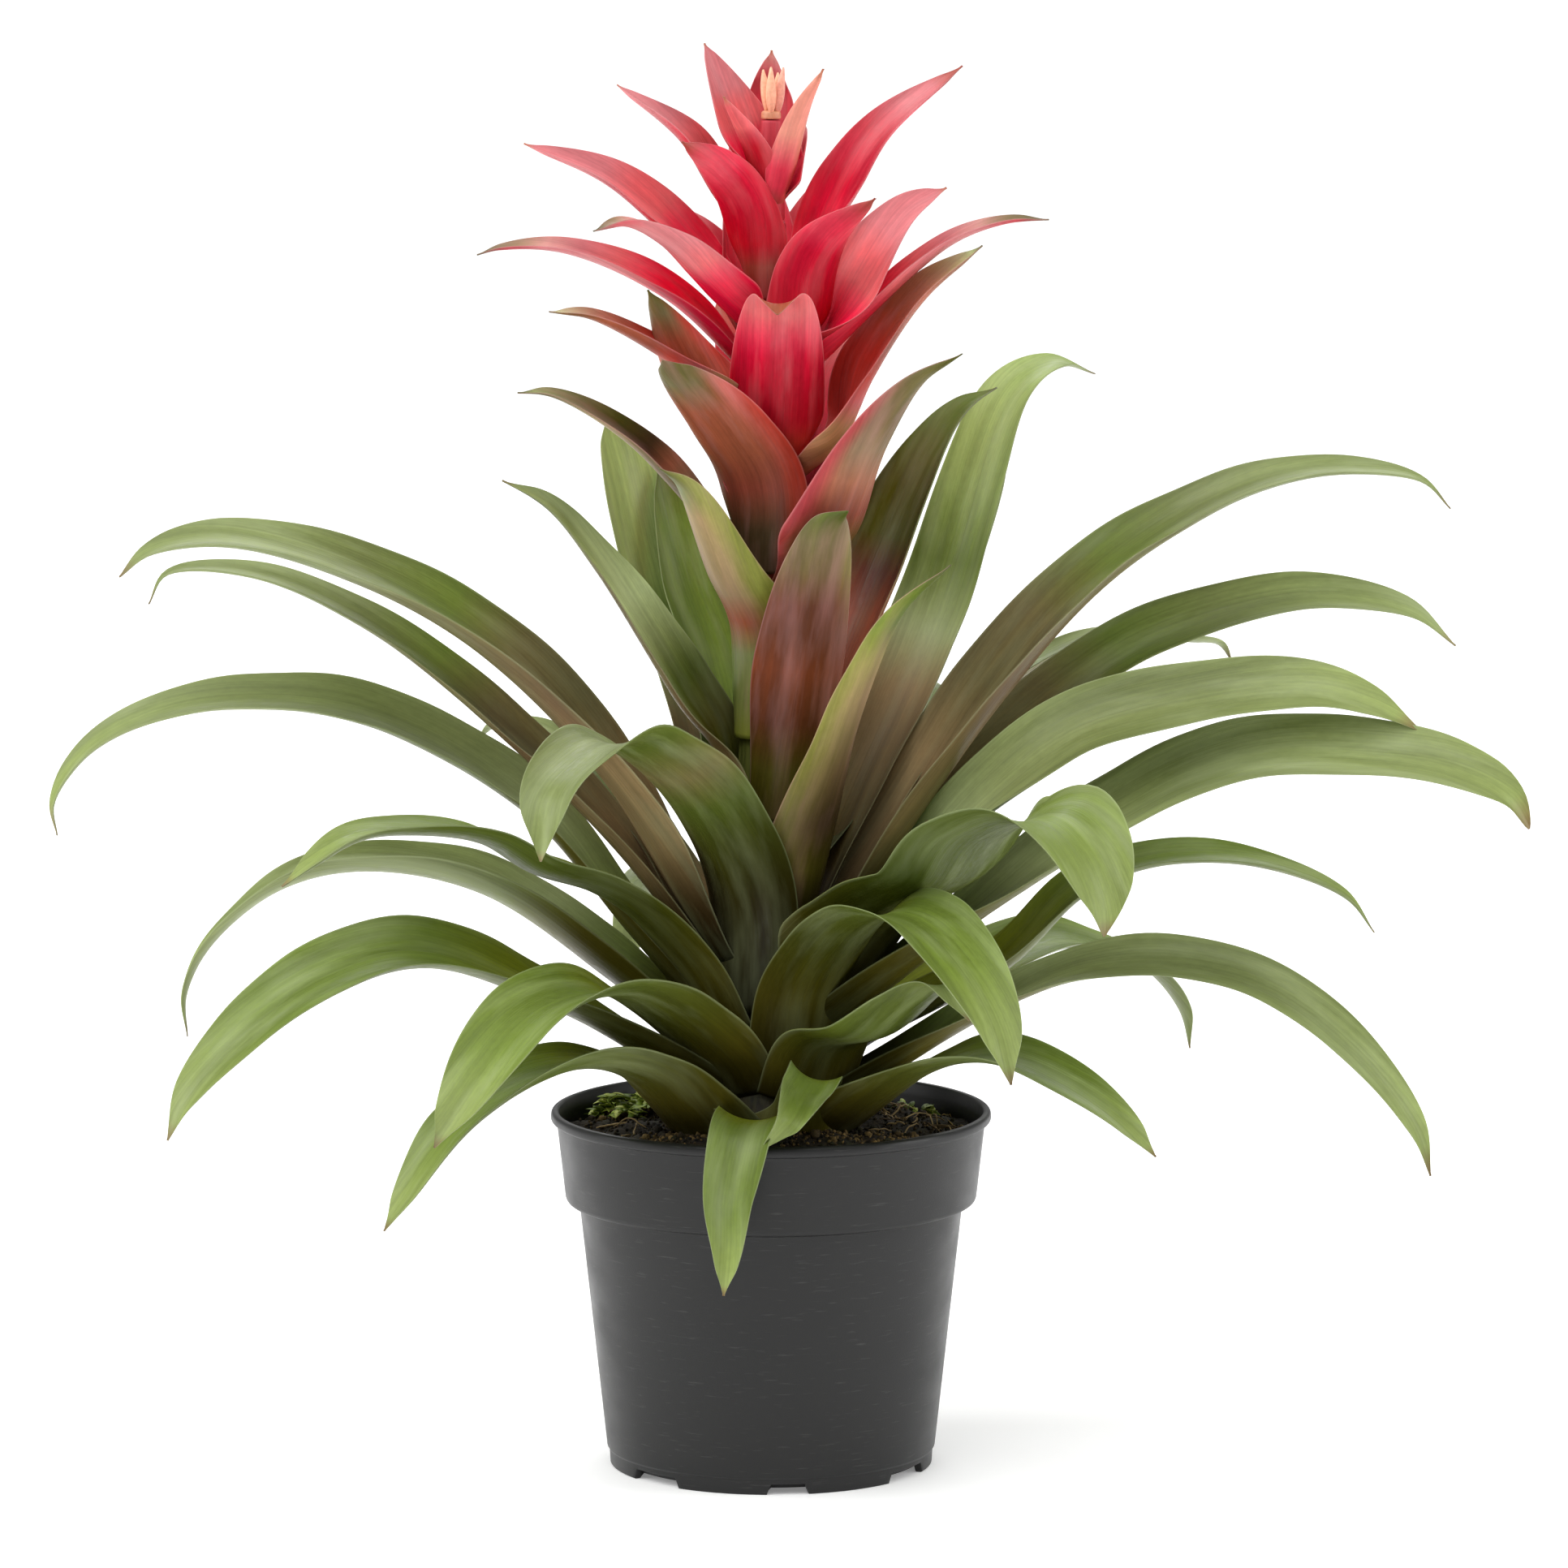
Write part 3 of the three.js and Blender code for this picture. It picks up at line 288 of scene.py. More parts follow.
BLADES = [
    blade("leaf_left_1", LEAF, 189, 52.7, [(19, 172), (60.2, 241.5), (100.7, 283.4), (142, 307.3),
          (184.8, 319.6), (209.7, 316), (219.9, 307.8)], "brown_leaf", cup=60, roll=-17, fall=0.27),
    blade("leaf_left_2", LEAF, 174, 31.5, [(19, 168), (55.4, 214.7), (105.6, 263.4), (140.8, 288.7),
          (176.3, 303.2), (206.8, 302.7), (213, 292.2)],
          "brown_leaf", cup=58, taper=3.4, roll=-20, fall=0.37),
    blade("leaf_left_3", LEAF, 174, 32.1, [(22, 152), (50, 185.2), (83.4, 225.2), (137.9, 255.3),
          (182, 259.6), (212.3, 254.1), (235, 241.4), (246.8, 223.4), (245.6, 212.1)],
          "bright_leaf", cup=52, roll=-25, fall=0.24),
    blade("leaf_left_4", LEAF, 208, 39.2, [(21, 150), (32.5, 171.2), (51.7, 191.8), (67.7, 202),
          (89.9, 209.8), (108.8, 221.1), (135.6, 226), (156.7, 225), (182.1, 211.2)],
          "low_leaf", fall=0.12),
    blade("leaf_left_5", LEAF, 181, 57.5, [(24, 142), (54.5, 167.3), (98, 197.2), (138.5, 204.9),
          (167.3, 198), (190.5, 178.8), (198.8, 162.1), (198.3, 147.4)],
          "bright_leaf", cup=55, taper=3.2, fall=0.39),
    blade("leaf_left_6", LEAF, 204, 46.7, [(26, 130), (78.3, 161.9), (128.4, 182.3), (162.9, 176.2),
          (195.2, 156), (211.4, 139.3), (217.8, 127)], "low_leaf", cup=44, roll=-18, fall=0.23),
    blade("leaf_left_7", LEAF, 232, 52.3, [(25, 130), (35, 142.4), (59.6, 160.1), (86.6, 172.5),
          (113.2, 173.1), (134.2, 166.2), (176.8, 134)], "low_leaf", roll=-1, fall=0.27),
    blade("leaf_left_8", LEAF, 224, 49.5, [(34, 114), (48.6, 128.4), (61.6, 139.4), (83.4, 146.5),
          (107.2, 145.8), (142.4, 133.1), (175.4, 103.2)], "low_leaf", roll=6, neck=0.3, fall=0.44),
    blade("leaf_front_1", LEAF, 241, 40.8, [(21, 158), (20.2, 188.5), (27, 205.4), (39.9, 221),
          (61.4, 238.6), (86.8, 252.4), (105.6, 259.4), (128.2, 255.7), (147.4, 246.2), (153.3, 226.6)],
          "long_leaf", cup=62, fall=-0.09, roll=3),
    blade("leaf_front_2", LEAF, 262, 30.5, [(30, 114), (44, 123, 1), (62, 129, 3), (84, 127, 2),
          (92, 108, -1), (103, 92), (105, 78, -1)], "low_leaf", fall=0.46),
    blade("leaf_front_3", LEAF, 282, 23.6, [(31, 111), (51.2, 140.5, 3.6), (66.2, 139.1, -3.1),
          (87.3, 133.2, -13.3), (84.9, 123.1, -21.8)], "low_leaf", roll=-22, fall=0.39),
    blade("leaf_front_4", LEAF, -63, 39.1, [(23, 142), (30.3, 165.1), (51.2, 184.8), (77.9, 199),
          (106.3, 200.7), (137.5, 190.1), (159.5, 174.8), (170.1, 156.7)], "low_leaf", roll=5, fall=0.14),
    blade("leaf_front_5", LEAF, -54, 48, [(27, 128), (39, 148), (63, 156), (84, 170.1), (101, 178),
          (111, 167.3)], "low_leaf", roll=6, fall=0.2),
    blade("leaf_right_1", LEAF, 7, 55.3, [(18, 177), (29.7, 192.7), (77.4, 262.6), (107.9, 298.1),
          (143.3, 322.9), (170.8, 334.6), (197.8, 338.1), (223.1, 334.1), (233.2, 324.2)],
          "brown_leaf", cup=60, taper=3.2, roll=18, fall=0.48),
    blade("leaf_right_2", LEAF, 14, 26.8, [(22, 155), (36, 192.3), (59.6, 226.7), (116.8, 271.1),
          (144.7, 283.7), (188.6, 292.6), (226.2, 286.7), (243.5, 273.5)],
          "brown_leaf", cup=58, roll=42, fall=0.12),
    blade("leaf_right_3", LEAF, 34, 37.2, [(20, 168), (46, 216.9), (82.1, 251.5), (116.3, 267.4),
          (149.8, 275), (175.4, 270.9), (190.3, 268.3), (195.2, 262.3)],
          "brown_leaf", cup=45, roll=-7, fall=0.32),
    blade("leaf_right_4", LEAF, -12, 40, [(20, 158), (43.4, 197.2), (98.9, 249.8), (123.9, 260.5),
          (182.1, 271), (204.2, 266.4), (221.2, 257.5)],
          "bright_leaf", cup=45, taper=6, blunt=0.85, roll=42, fall=0.28, wrap=66, neck=0.36),
    blade("leaf_right_5", LEAF, -14, 43.5, [(22, 150), (97.7, 211.2), (116.8, 224.9), (144, 240.4),
          (171.1, 248.8), (201.3, 250.2), (231.9, 246.9), (252.4, 237.4), (258.8, 227)],
          "bright_leaf", cup=42, taper=8, blunt=0.6, roll=37, fall=0.38, neck=0.36, wrap=58),
    blade("leaf_right_6", LEAF, -47, 69.5, [(20, 155), (41, 187.5, 14), (82, 208, 8.7),
          (109.2, 227.5, -1.5), (130.7, 234.6), (147.5, 226.2), (158.1, 209.1), (158.8, 199.3)],
          "low_leaf", fall=0.1, neck=0.13, roll=3),
    blade("leaf_right_7", LEAF, 12, 26.5, [(24, 141), (43.4, 149.2), (82.6, 169.8), (107.3, 193.3),
          (132.6, 202.9), (167.7, 202.1), (202, 189.1), (212.8, 175.7)],
          "low_leaf", cup=55, roll=18, neck=0.36),
    blade("leaf_right_8", LEAF, 42, 37.3, [(25, 136), (64.4, 149.2), (132.1, 165.8), (160.8, 159.5),
          (181.8, 149.5), (197.6, 133.4), (201.1, 119.9)], "low_leaf", roll=16),
    blade("leaf_right_9", LEAF, -10, 18.1, [(27, 126), (83, 162.7), (108.7, 173.4), (137.8, 176.1),
          (169.9, 168.7), (198.9, 148), (219.9, 122.1), (225, 105.9)],
          "bright_leaf", cup=46, roll=39, fall=-0.32, neck=0.36),
    blade("leaf_right_10", LEAF, -43, 32.3, [(31, 117), (50.6, 130.4), (70.8, 142.7), (90.1, 149.7),
          (109.3, 151.4), (133, 146.2), (156.1, 136.9), (171.6, 126.9)],
          "low_leaf", roll=11, fall=0.31, neck=0.36),
    blade("leaf_back_1", BACK_LEAF, 68, 36, [(22, 150), (38, 190), (66, 228), (105, 250), (138, 248),
          (158, 232), (168, 208)], "long_leaf"),
    blade("leaf_back_2", BACK_LEAF, 98, 36, [(21, 154), (52, 200), (88, 222), (120, 220), (143, 202),
          (154, 176)], "long_leaf"),
    blade("leaf_back_3", BACK_LEAF, 110, 34, [(24, 138), (56, 172), (90, 188), (122, 182), (144, 164),
          (154, 142)], "long_leaf"),
    blade("leaf_back_4", BACK_LEAF, 148, 34, [(20, 160), (46, 204), (76, 234), (98, 246), (112, 246),
          (120, 240)], "brown_leaf"),
    blade("leaf_back_5", BACK_LEAF, 84, 32, [(29, 122), (60, 148), (92, 156), (118, 144), (134, 120)],
          "long_leaf"),
    blade("leaf_back_6", BACK_LEAF, 84, 32, [(13.5, 210), (24, 256), (36, 300), (50, 330)],
          "long_leaf", taper=3),
    blade("leaf_upright_1", BRACT, 204, 42, [(16, 190), (17.1, 222.2), (19.7, 245.8), (33, 266.1),
          (63.6, 312.1), (81.3, 332.2), (97.6, 340.6)], "silver_sheen_leaf", roll=-46, fall=0),
    blade("leaf_upright_2", LEAF, 125, 43.4, [(16, 188), (39.9, 248.8), (68.7, 295), (86.7, 336),
          (95.9, 352.4)], "pale_leaf", taper=9, blunt=0.5, roll=6, fall=0.16),
    blade("leaf_upright_3", LEAF, 118, 36, [(15, 198), (26, 240), (42, 273), (61, 296), (73, 316),
          (83, 335)], "fresh_leaf"),
    blade("leaf_upright_4", LEAF, 40, 36.6, [(16, 188), (36.7, 223.6), (75, 287.7), (107.4, 359.7),
          (128.5, 369.2), (147.1, 364.6)], "pale_leaf", roll=16, fall=0.22),
    blade("leaf_upright_5", BRACT, 27, 50.9, [(12, 240), (61.5, 343.7), (73.3, 358.2), (86.5, 364.6)],
          "moss_leaf", roll=15, fall=-0.08),
    blade("leaf_upright_6", LEAF, 54, 27.4, [(15, 202), (72.5, 240.9), (95.5, 265.3), (138.5, 329.4),
          (142.8, 335.9)], "fresh_leaf", roll=-12),
    blade("bract_low_1", BRACT, -53, 35.2, [(15, 192), (24.2, 216.8), (53.5, 274.7), (71.3, 298.7),
          (97.6, 316.6)], "green_red", roll=19, fall=0.04),
    blade("bract_low_2", BRACT, 281, 35.7, [(13, 222), (36.2, 311.1, 10), (45.2, 326.2, 12),
          (51.2, 331.3, 16)], "brown_head", taper=3, blunt=0.7, neck=0.5, wrap=50, roll=3, fall=-0.14),
    blade("bract_low_3", BRACT, 230, 40.3, [(12, 250), (11, 284.6), (24.7, 305.6), (45.1, 338),
          (58, 345.4)], "green_flank", roll=-2, cup=60, wrap=48, fall=-0.11),
    blade("bract_mid_1", BRACT, 189, 27.6, [(9.2, 300), (22.2, 321.7), (47.6, 350.9), (74.5, 367),
          (85.9, 367.5)], "dark_bract", roll=-24),
    blade("bract_mid_2", BRACT, -41, 54.9, [(9.2, 299), (28.7, 316.8), (46.2, 349.9), (64.7, 373.2),
          (83.4, 384.1)], "straw_bract", roll=6, fall=0.22),
    blade("bract_mid_3", BRACT, 232, 38.4, [(10, 306), (11.1, 335.3), (25.7, 352.9), (58.2, 381.1)],
          "brown_bract", taper=3, blunt=0.7, roll=11, fall=-0.1),
    blade("bract_mid_4", BRACT, -14, 42, [(8, 336), (24.9, 351.7), (34.9, 375.7), (52.4, 400.6),
          (72.6, 417.1)], "wine_bract", roll=33, fall=-0.03),
    blade("bract_mid_5", BRACT, 200, 36.2, [(9, 346), (28.4, 372.6), (43.8, 402.1)],
          "brown_bract", roll=45, fall=-0.04),
    blade("bract_mid_6", BRACT, 202, 31.5, [(8, 358), (30.8, 374.7), (65, 393.9), (79.5, 396)],
          "wine_bract", roll=-14, fall=0.06),
    blade("bract_mid_7", BRACT, 268, 37, [(8, 338), (17, 362, 2), (38, 396, 4), (47, 400, 4), (53, 397, 4)],
          "heart_bract", taper=3.2, blunt=0.6),
    blade("bract_top_1", BRACT, -10, 27.2, [(7.2, 367), (49.7, 408.8), (64.5, 419.6), (81.4, 425.3),
          (94.1, 425.7)], "rose_bract", roll=14),
    blade("bract_top_2", BRACT, -20, 35.1, [(7.1, 373), (21, 388.5), (47.6, 427.9), (62.1, 436.6)],
          "pink_bract", roll=70, fall=-0.08),
    blade("bract_top_3", BRACT, -52, 29.7, [(7, 376), (16.8, 388.4), (21.1, 407.2), (29.5, 418.5),
          (55.9, 434.6)], "red_bract", roll=-22, fall=-0.03),
    blade("bract_top_4", BRACT, 178, 30.1, [(7.1, 372), (35.8, 399.5), (68.4, 414), (90.6, 414.9),
          (98.9, 412.5)], "rose_bract", roll=-14, fall=0.06),
    blade("bract_top_5", BRACT, 214, 40.5, [(7, 386), (28.8, 406.2), (42.1, 417.9), (58.3, 425.2),
          (70.8, 423.5)], "rose_bract", roll=-2, fall=0.03),
    blade("bract_top_6", BRACT, 8, 32.4, [(7, 394), (26.8, 437.3), (37.6, 453.8), (64.9, 475.6)],
          "red_bract", roll=33),
    blade("bract_top_7", BRACT, 184, 34.3, [(7, 396), (27, 414.5), (54.3, 438.2), (82.8, 450.4)],
          "pink_bract", roll=-26, fall=-0.05),
    blade("bract_top_8", BRACT, 236, 23.1, [(7, 398), (12.6, 429.1), (29.5, 443.2), (52.7, 453.2)],
          "red_bract", roll=54, fall=-0.14),
]

# Blades that hold together as one body.
CROWN = [
    blade("tuft_1", BRACT, 178, 32.2, [(3, 427), (13.8, 427.7), (29.5, 451.6), (51.6, 469.7)],
          "pink_bract", roll=-14),
    blade("tuft_2", BRACT, 236, 15, [(3, 433), (10, 447), (28, 467)], "blush_bract"),
    blade("tuft_3", BRACT, -54, 14.7, [(3, 428), (10.4, 447.6), (18.5, 463), (29.5, 476.2)],
          "peach_bract", roll=-4, fall=0.04),
    blade("tuft_4", BRACT, 88, 27.4, [(3, 430), (9.9, 450.6), (14.8, 468), (5.7, 480.8)],
          "blush_bract", roll=-18, fall=-0.14),
    blade("tuft_5", BRACT, 160, 32.2, [(3, 432), (10.8, 451.5), (23.8, 483.2)], "pink_bract", roll=-30),
    blade("tuft_6", BRACT, 50, 30.1, [(3, 429), (8.7, 444.1), (18, 455.9)], "blush_bract", roll=2),
]
BACK_TOP = [
    blade("back_top_1", BRACT, 56, 36, [(7.6, 380), (20, 404), (36, 428), (62, 446)], "red_bract"),
    blade("back_top_2", BRACT, 104, 36, [(7.6, 380), (18, 410), (34, 438), (52, 452)], "red_bract"),
    blade("back_top_3", BRACT, 140, 34, [(7.6, 380), (20, 402), (36, 420), (54, 430)], "red_bract"),
]
BACK_MID = [
    blade("back_mid_1", BRACT, 8, 32, [(10, 322), (22, 332), (44, 362)], "heart_bract"),
    blade("back_mid_2", BRACT, 62, 36, [(10, 322), (22, 346), (42, 372), (66, 386)], "heart_bract"),
    blade("back_mid_3", BRACT, 108, 36, [(10, 322), (20, 350), (40, 380), (60, 394)], "heart_bract"),
    blade("back_mid_4", BRACT, 128, 32, [(10, 322), (20, 344), (34, 362), (42, 370)], "heart_bract"),
]


def smooth(x, low, high):
    """Smooth step of x, from 0 at low to 1 at high. low may be the larger."""
    t = np.clip((x - low) / (high - low), 0, 1)
    return t * t * (3 - 2 * t)


def linear(code):
    """Linear red, green and blue of a #rrggbb code."""
    value = np.array([int(code[i:i + 2], 16) for i in (1, 3, 5)]) / 255
    return np.where(value <= 0.04045, value / 12.92, ((value + 0.055) / 1.055) ** 2.4)


def rgba(code):
    """A #rrggbb code as the four numbers of a colour socket."""
    return (*linear(code), 1)


def ripple(rng, x, shortest, longest):
    """A smooth random line along x, about -1 to 1."""
    lengths = np.linspace(shortest, longest, 4) * rng.uniform(0.8, 1.2, 4)
    phases = rng.random(4)
    return sum(np.sin(2 * np.pi * (x / length + phase)) for length, phase in zip(lengths, phases)) / 2.5


def make_object(name, points, faces, material, attributes=(), uv=None):
    """A smooth-shaded mesh object from points in millimetres. attributes is [(name, kind, values)]."""
    mesh = bpy.data.meshes.new(name)
    mesh.from_pydata((np.asarray(points) * MM).tolist(), [], faces)
    for label, kind, values in attributes:
        made = mesh.attributes.new(label, kind, "POINT")
        field = "color" if kind == "FLOAT_COLOR" else "vector"
        made.data.foreach_set(field, np.asarray(values, np.float32).ravel())
    if uv is not None:
        mesh.uv_layers.new(name="OFBake").uv.foreach_set("vector", np.asarray(uv, np.float32).ravel())
    mesh.polygons.foreach_set("use_smooth", [True] * len(mesh.polygons))
    mesh.materials.append(material)
    mesh.update()
    piece = bpy.data.objects.new(name, mesh)
    bpy.context.scene.collection.objects.link(piece)
    return piece


def dress(piece, slot, *nodes):
    """Puts a piece on the part's one body and hides the nodes that it stands for. slot is not used."""
    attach(piece, "root")
    if nodes:
        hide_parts(*nodes)
    return piece


def merged(surfaces):
    """Several (points, faces, attribute values..., uv) as one, in the same form."""
    start = 0
    faces = []
    for points, part_faces, *_ in surfaces:
        faces += [[start + i for i in face] for face in part_faces]
        start += len(points)
    rest = [np.concatenate(values) for values in list(zip(*surfaces))[2:]]
    return np.concatenate([surface[0] for surface in surfaces]), faces, *rest


# Blades


def spline(knots, shares):
    """Points at shares of the length of a centripetal Catmull-Rom curve, their tangents, and its length."""
    ends = [2 * knots[0] - knots[1], *knots, 2 * knots[-1] - knots[-2]]
    fine = []
    for a, b, c, d in zip(ends, ends[1:], ends[2:], ends[3:]):
        gaps = [max(np.linalg.norm(q - p) ** 0.5, 1e-4) for p, q in ((a, b), (b, c), (c, d))]
        start = (b - a) / gaps[0] - (c - a) / (gaps[0] + gaps[1]) + (c - b) / gaps[1]
        stop = (c - b) / gaps[1] - (d - b) / (gaps[1] + gaps[2]) + (d - c) / gaps[2]
        t = np.linspace(0, 1, 60, endpoint=False)[:, None]
        fine.append(
            b * (2 * t**3 - 3 * t**2 + 1) + c * (3 * t**2 - 2 * t**3)
            + start * gaps[1] * (t**3 - 2 * t**2 + t) + stop * gaps[1] * (t**3 - t**2)
        )
    line = np.concatenate([*fine, [knots[-1]]])
    run = np.concatenate([[0], np.cumsum(np.linalg.norm(np.diff(line, axis=0), axis=1))])
    place = shares * run[-1]
    centre = np.stack([np.interp(place, run, axis) for axis in line.T], 1)
    slope = np.gradient(line, run, axis=0)
    tangent = np.stack([np.interp(place, run, axis) for axis in slope.T], 1)
    return centre, tangent / np.linalg.norm(tangent, axis=1)[:, None], run[-1]


def blade_width(row, s):
    """Width of a blade at each share of its length."""
    root_width = 2 * math.radians(row["wrap"]) * row["midrib"][0][0]
    free = row["width"] * (1 - row["fall"] * s) * np.maximum(1 - s ** row["taper"], 0) ** row["blunt"]
    free *= 1 - 0.3 * smooth(s, 0.92, 0.99)
    out = smooth(s, 0, row["neck"])
    return np.maximum(root_width * (1 - out) + free * out, TIP_WIDTH)


def painted(row, s, u, face):
    """Broad colours of one face of a blade, as linear colour at each station and place across."""
    stops = PAINTS[row["paint"]][face]
    shares = [share for share, _ in stops]
    codes = np.array([linear(PALETTE[name]) for _, name in stops]) ** (1 / PAINT_GAMMA)
    colour = np.stack([np.interp(s, shares, channel) for channel in codes.T], -1)
    colour = np.repeat(colour[:, None], len(u), axis=1)
    for name, u_from, u_to, s_from, s_to, strength in PAINTS[row["paint"]]["washes"]:
        along = smooth(s, s_from - 0.1, s_from + 0.1) * smooth(s, s_to + 0.1, s_to - 0.1)
        weight = strength * along[:, None] * smooth(u, u_from, u_to)[None]
        wash = linear(PALETTE[name]) ** (1 / PAINT_GAMMA)
        colour = colour * (1 - weight[..., None]) + wash * weight[..., None]
    return colour**PAINT_GAMMA


def blade_surface(row, seed, strip=(0, 1)):
    """One blade as points, faces and the values at its points: paint, place, span; then its map's corners.

    strip is the part of the map's width that the blade takes.
    """
    rng = np.random.default_rng([SEED, seed])
    turn = math.radians(row["azimuth"])
    outward = np.array([math.cos(turn), math.sin(turn), 0])
    side = np.array([-math.sin(turn), math.cos(turn), 0])
    knots = [outward * r + side * sum(sideways) + np.array([0, 0, z]) for r, z, *sideways in row["midrib"]]
    s = 1 - (1 - np.linspace(0, 1, STATIONS)) ** 1.2
    centre, tangent, length = spline(knots, s)

    across = side - tangent * (tangent @ side)[:, None]
    across /= np.linalg.norm(across, axis=1)[:, None]
    up = np.cross(tangent, across)
    roll = (math.radians(row.get("roll", 0)) * smooth(s, 0.05, 0.5))[:, None]
    across, up = across * np.cos(roll) + up * np.sin(roll), up * np.cos(roll) - across * np.sin(roll)

    width = blade_width(row, s)
    out = smooth(s, 0, row["neck"])
    channel = np.radians(row["cup"] + (row["tip_cup"] - row["cup"]) * smooth(s, 0.3, 0.95))
    half = math.radians(row["wrap"]) * (1 - out) + channel * out
    radius = (width / (2 * half))[:, None, None]

    u = np.sin(np.linspace(-np.pi / 2, np.pi / 2, ACROSS + 1))
    angle = (half[:, None] * u)[..., None]
    axis = centre[:, None] + up[:, None] * radius
    free = smooth(s, 0.1, 0.35)[:, None]
    waves = [ripple(rng, s * length, *MARGIN_WAVE_LENGTHS)[:, None] for _ in range(2)]
    lift = np.where(u < 0, waves[0], waves[1]) * np.abs(u) ** 3 * free
    lift = (lift * MARGIN_WAVE * np.minimum(width / 25, 1)[:, None])[..., None]
    thickness = (EDGE_THICKNESS + (row["thick"] - EDGE_THICKNESS) * (1 - u**4))[None, :, None]
    thickness = thickness * (0.4 + 0.6 * smooth(s, 1, 0.9))[:, None, None]

    faces_of = []
    for depth in (0, thickness):
        reach = radius + depth
        point = axis + across[:, None] * reach * np.sin(angle) - up[:, None] * reach * np.cos(angle)
        faces_of.append(point + up[:, None] * lift)
    points = np.concatenate([faces_of[0], faces_of[1][:, ::-1]], 1)
    paint = np.concatenate([painted(row, s, u, "upper"), painted(row, s, u, "lower")[:, ::-1]], 1)

    ring_u = np.concatenate([u, u[::-1]])
    place = np.stack(np.broadcast_arrays(ring_u[None], s[:, None], rng.random()), -1)
    layer = np.where(np.arange(len(ring_u)) > ACROSS, LOWER_LAYER, 0) + LAYER_SPREAD * rng.random()
    span = np.stack(np.broadcast_arrays(ring_u[None] * width[:, None] / 2, (s * length)[:, None], layer), -1)
    faces, uv = tube_faces(STATIONS, len(ring_u), s, ring_u, strip)
    alpha = np.ones((*paint.shape[:2], 1))
    return (points.reshape(-1, 3), faces, np.concatenate([paint, alpha], -1).reshape(-1, 4),
            place.reshape(-1, 3), span.reshape(-1, 3), uv)


def tube_faces(stations, ring, s, ring_u, strip):
    """Quads of a flat tube of rings, with caps, and a map that lays its two faces side by side."""
    n = ring // 2
    low, high = strip
    step = (high - low) / 2
    inner = low + step * (0.02 + 0.94 * (ring_u[:n] + 1) / 2)
    outer = low + step + step * (0.02 + 0.94 * (1 - ring_u[n:]) / 2)
    across = np.concatenate([inner, outer, [high - 0.01 * step]])
    along = 0.01 + 0.98 * s
    faces = []
    uv = []
    for i in range(stations - 1):
        for j in range(ring):
            k = (j + 1) % ring
            faces.append([i * ring + j, (i + 1) * ring + j, (i + 1) * ring + k, i * ring + k])
            uv += [(across[j], along[i]), (across[j], along[i + 1]), (across[j + 1], along[i + 1]),
                   (across[j + 1], along[i])]
    last = (stations - 1) * ring
    for j in range(n - 1):
        k = ring - 1 - j
        faces.append([j, j + 1, k - 1, k])
        faces.append([last + j, last + k, last + k - 1, last + j + 1])
        uv += [(across[j], 0.002), (across[j + 1], 0.002), (across[j + 1], 0.008), (across[j], 0.008)]
        uv += [(across[j], 0.992), (across[j], 0.998), (across[j + 1], 0.998), (across[j + 1], 0.992)]
    return faces, np.array(uv)


def blade_piece(name, surface, material):
    """A blade, or several joined, as one object with the attributes that its material reads."""
    points, faces, paint, place, span, uv = surface
    vectors = [("place", "FLOAT_VECTOR", place), ("span", "FLOAT_VECTOR", span)]
    return make_object(name, points, faces, material, [("paint", "FLOAT_COLOR", paint), *vectors], uv)


def slot_of(name):
    """The record's material slot of a blade."""
    if name == "leaf_upright_5":
        return "leaf_dark"
    if name.startswith("leaf"):
        return "leaf"
    if name.startswith("bract_low"):
        return "bract_green_red"
    if name.startswith(("bract_mid", "bracts_back_mid")):
        return "bract_brown_red"
    return "bract_red"


def add_blades():
    """Every leaf and bract, each in place of its CAD node."""
    skins = {
        # Third value: colour of the waxy film and its painted sheen, also used for the painted edge
        # highlight.
        "leaf": skin("leaf_skin", 0.4, "#bcc79a", 0.22),
        "bract": skin("bract_skin", 0.44, "#eeb0b0", 0.22),
    }
    for seed, row in enumerate(BLADES):
        name = row["name"]
        piece = blade_piece("blade_" + name, blade_surface(row, seed), skins[name.split("_")[0]])
        dress(piece, slot_of(name), name)
    for body, rows in (("bract_tuft", CROWN), ("bracts_back_top", BACK_TOP), ("bracts_back_mid", BACK_MID)):
        count = len(rows)
        strips = [(i / count, (i + 1) / count) for i in range(count)]
        first = GROUP_DRAW + 10 * count
        parts = [blade_surface(row, first + i, strip) for i, (row, strip) in enumerate(zip(rows, strips))]
        dress(blade_piece("blades_" + body, merged(parts), skins["bract"]), slot_of(body), body)


# Materials


def node(tree, kind, inputs=(), **settings):
    """Adds a node. inputs is [(socket, value or another node's output)]."""
    made = tree.nodes.new(kind)
    for name, value in settings.items():
        setattr(made, name, value)
    for socket, value in inputs:
        if isinstance(value, bpy.types.NodeSocket):
            tree.links.new(value, made.inputs[socket])
        else:
            made.inputs[socket].default_value = value
    return made


def new_material(name, colour, roughness):
    """A material with its node tree and its Principled shader."""
    material = bpy.data.materials.new(name)
    material.use_nodes = True
    tree = material.node_tree
    shader = tree.nodes["Principled BSDF"]
    shader.inputs["Base Color"].default_value = rgba(colour)
    shader.inputs["Roughness"].default_value = roughness
    return material, tree, shader


def attribute(tree, name, output="Vector"):
    """Output of a mesh attribute."""
    return node(tree, "ShaderNodeAttribute", attribute_name=name).outputs[output]


def place_in_mm(tree):
    """Position in the part's frame, in millimetres."""
    place = node(tree, "ShaderNodeTexCoord").outputs["Object"]
    return node(tree, "ShaderNodeVectorMath", [(0, place), (3, 1 / MM)], operation="SCALE").outputs[0]


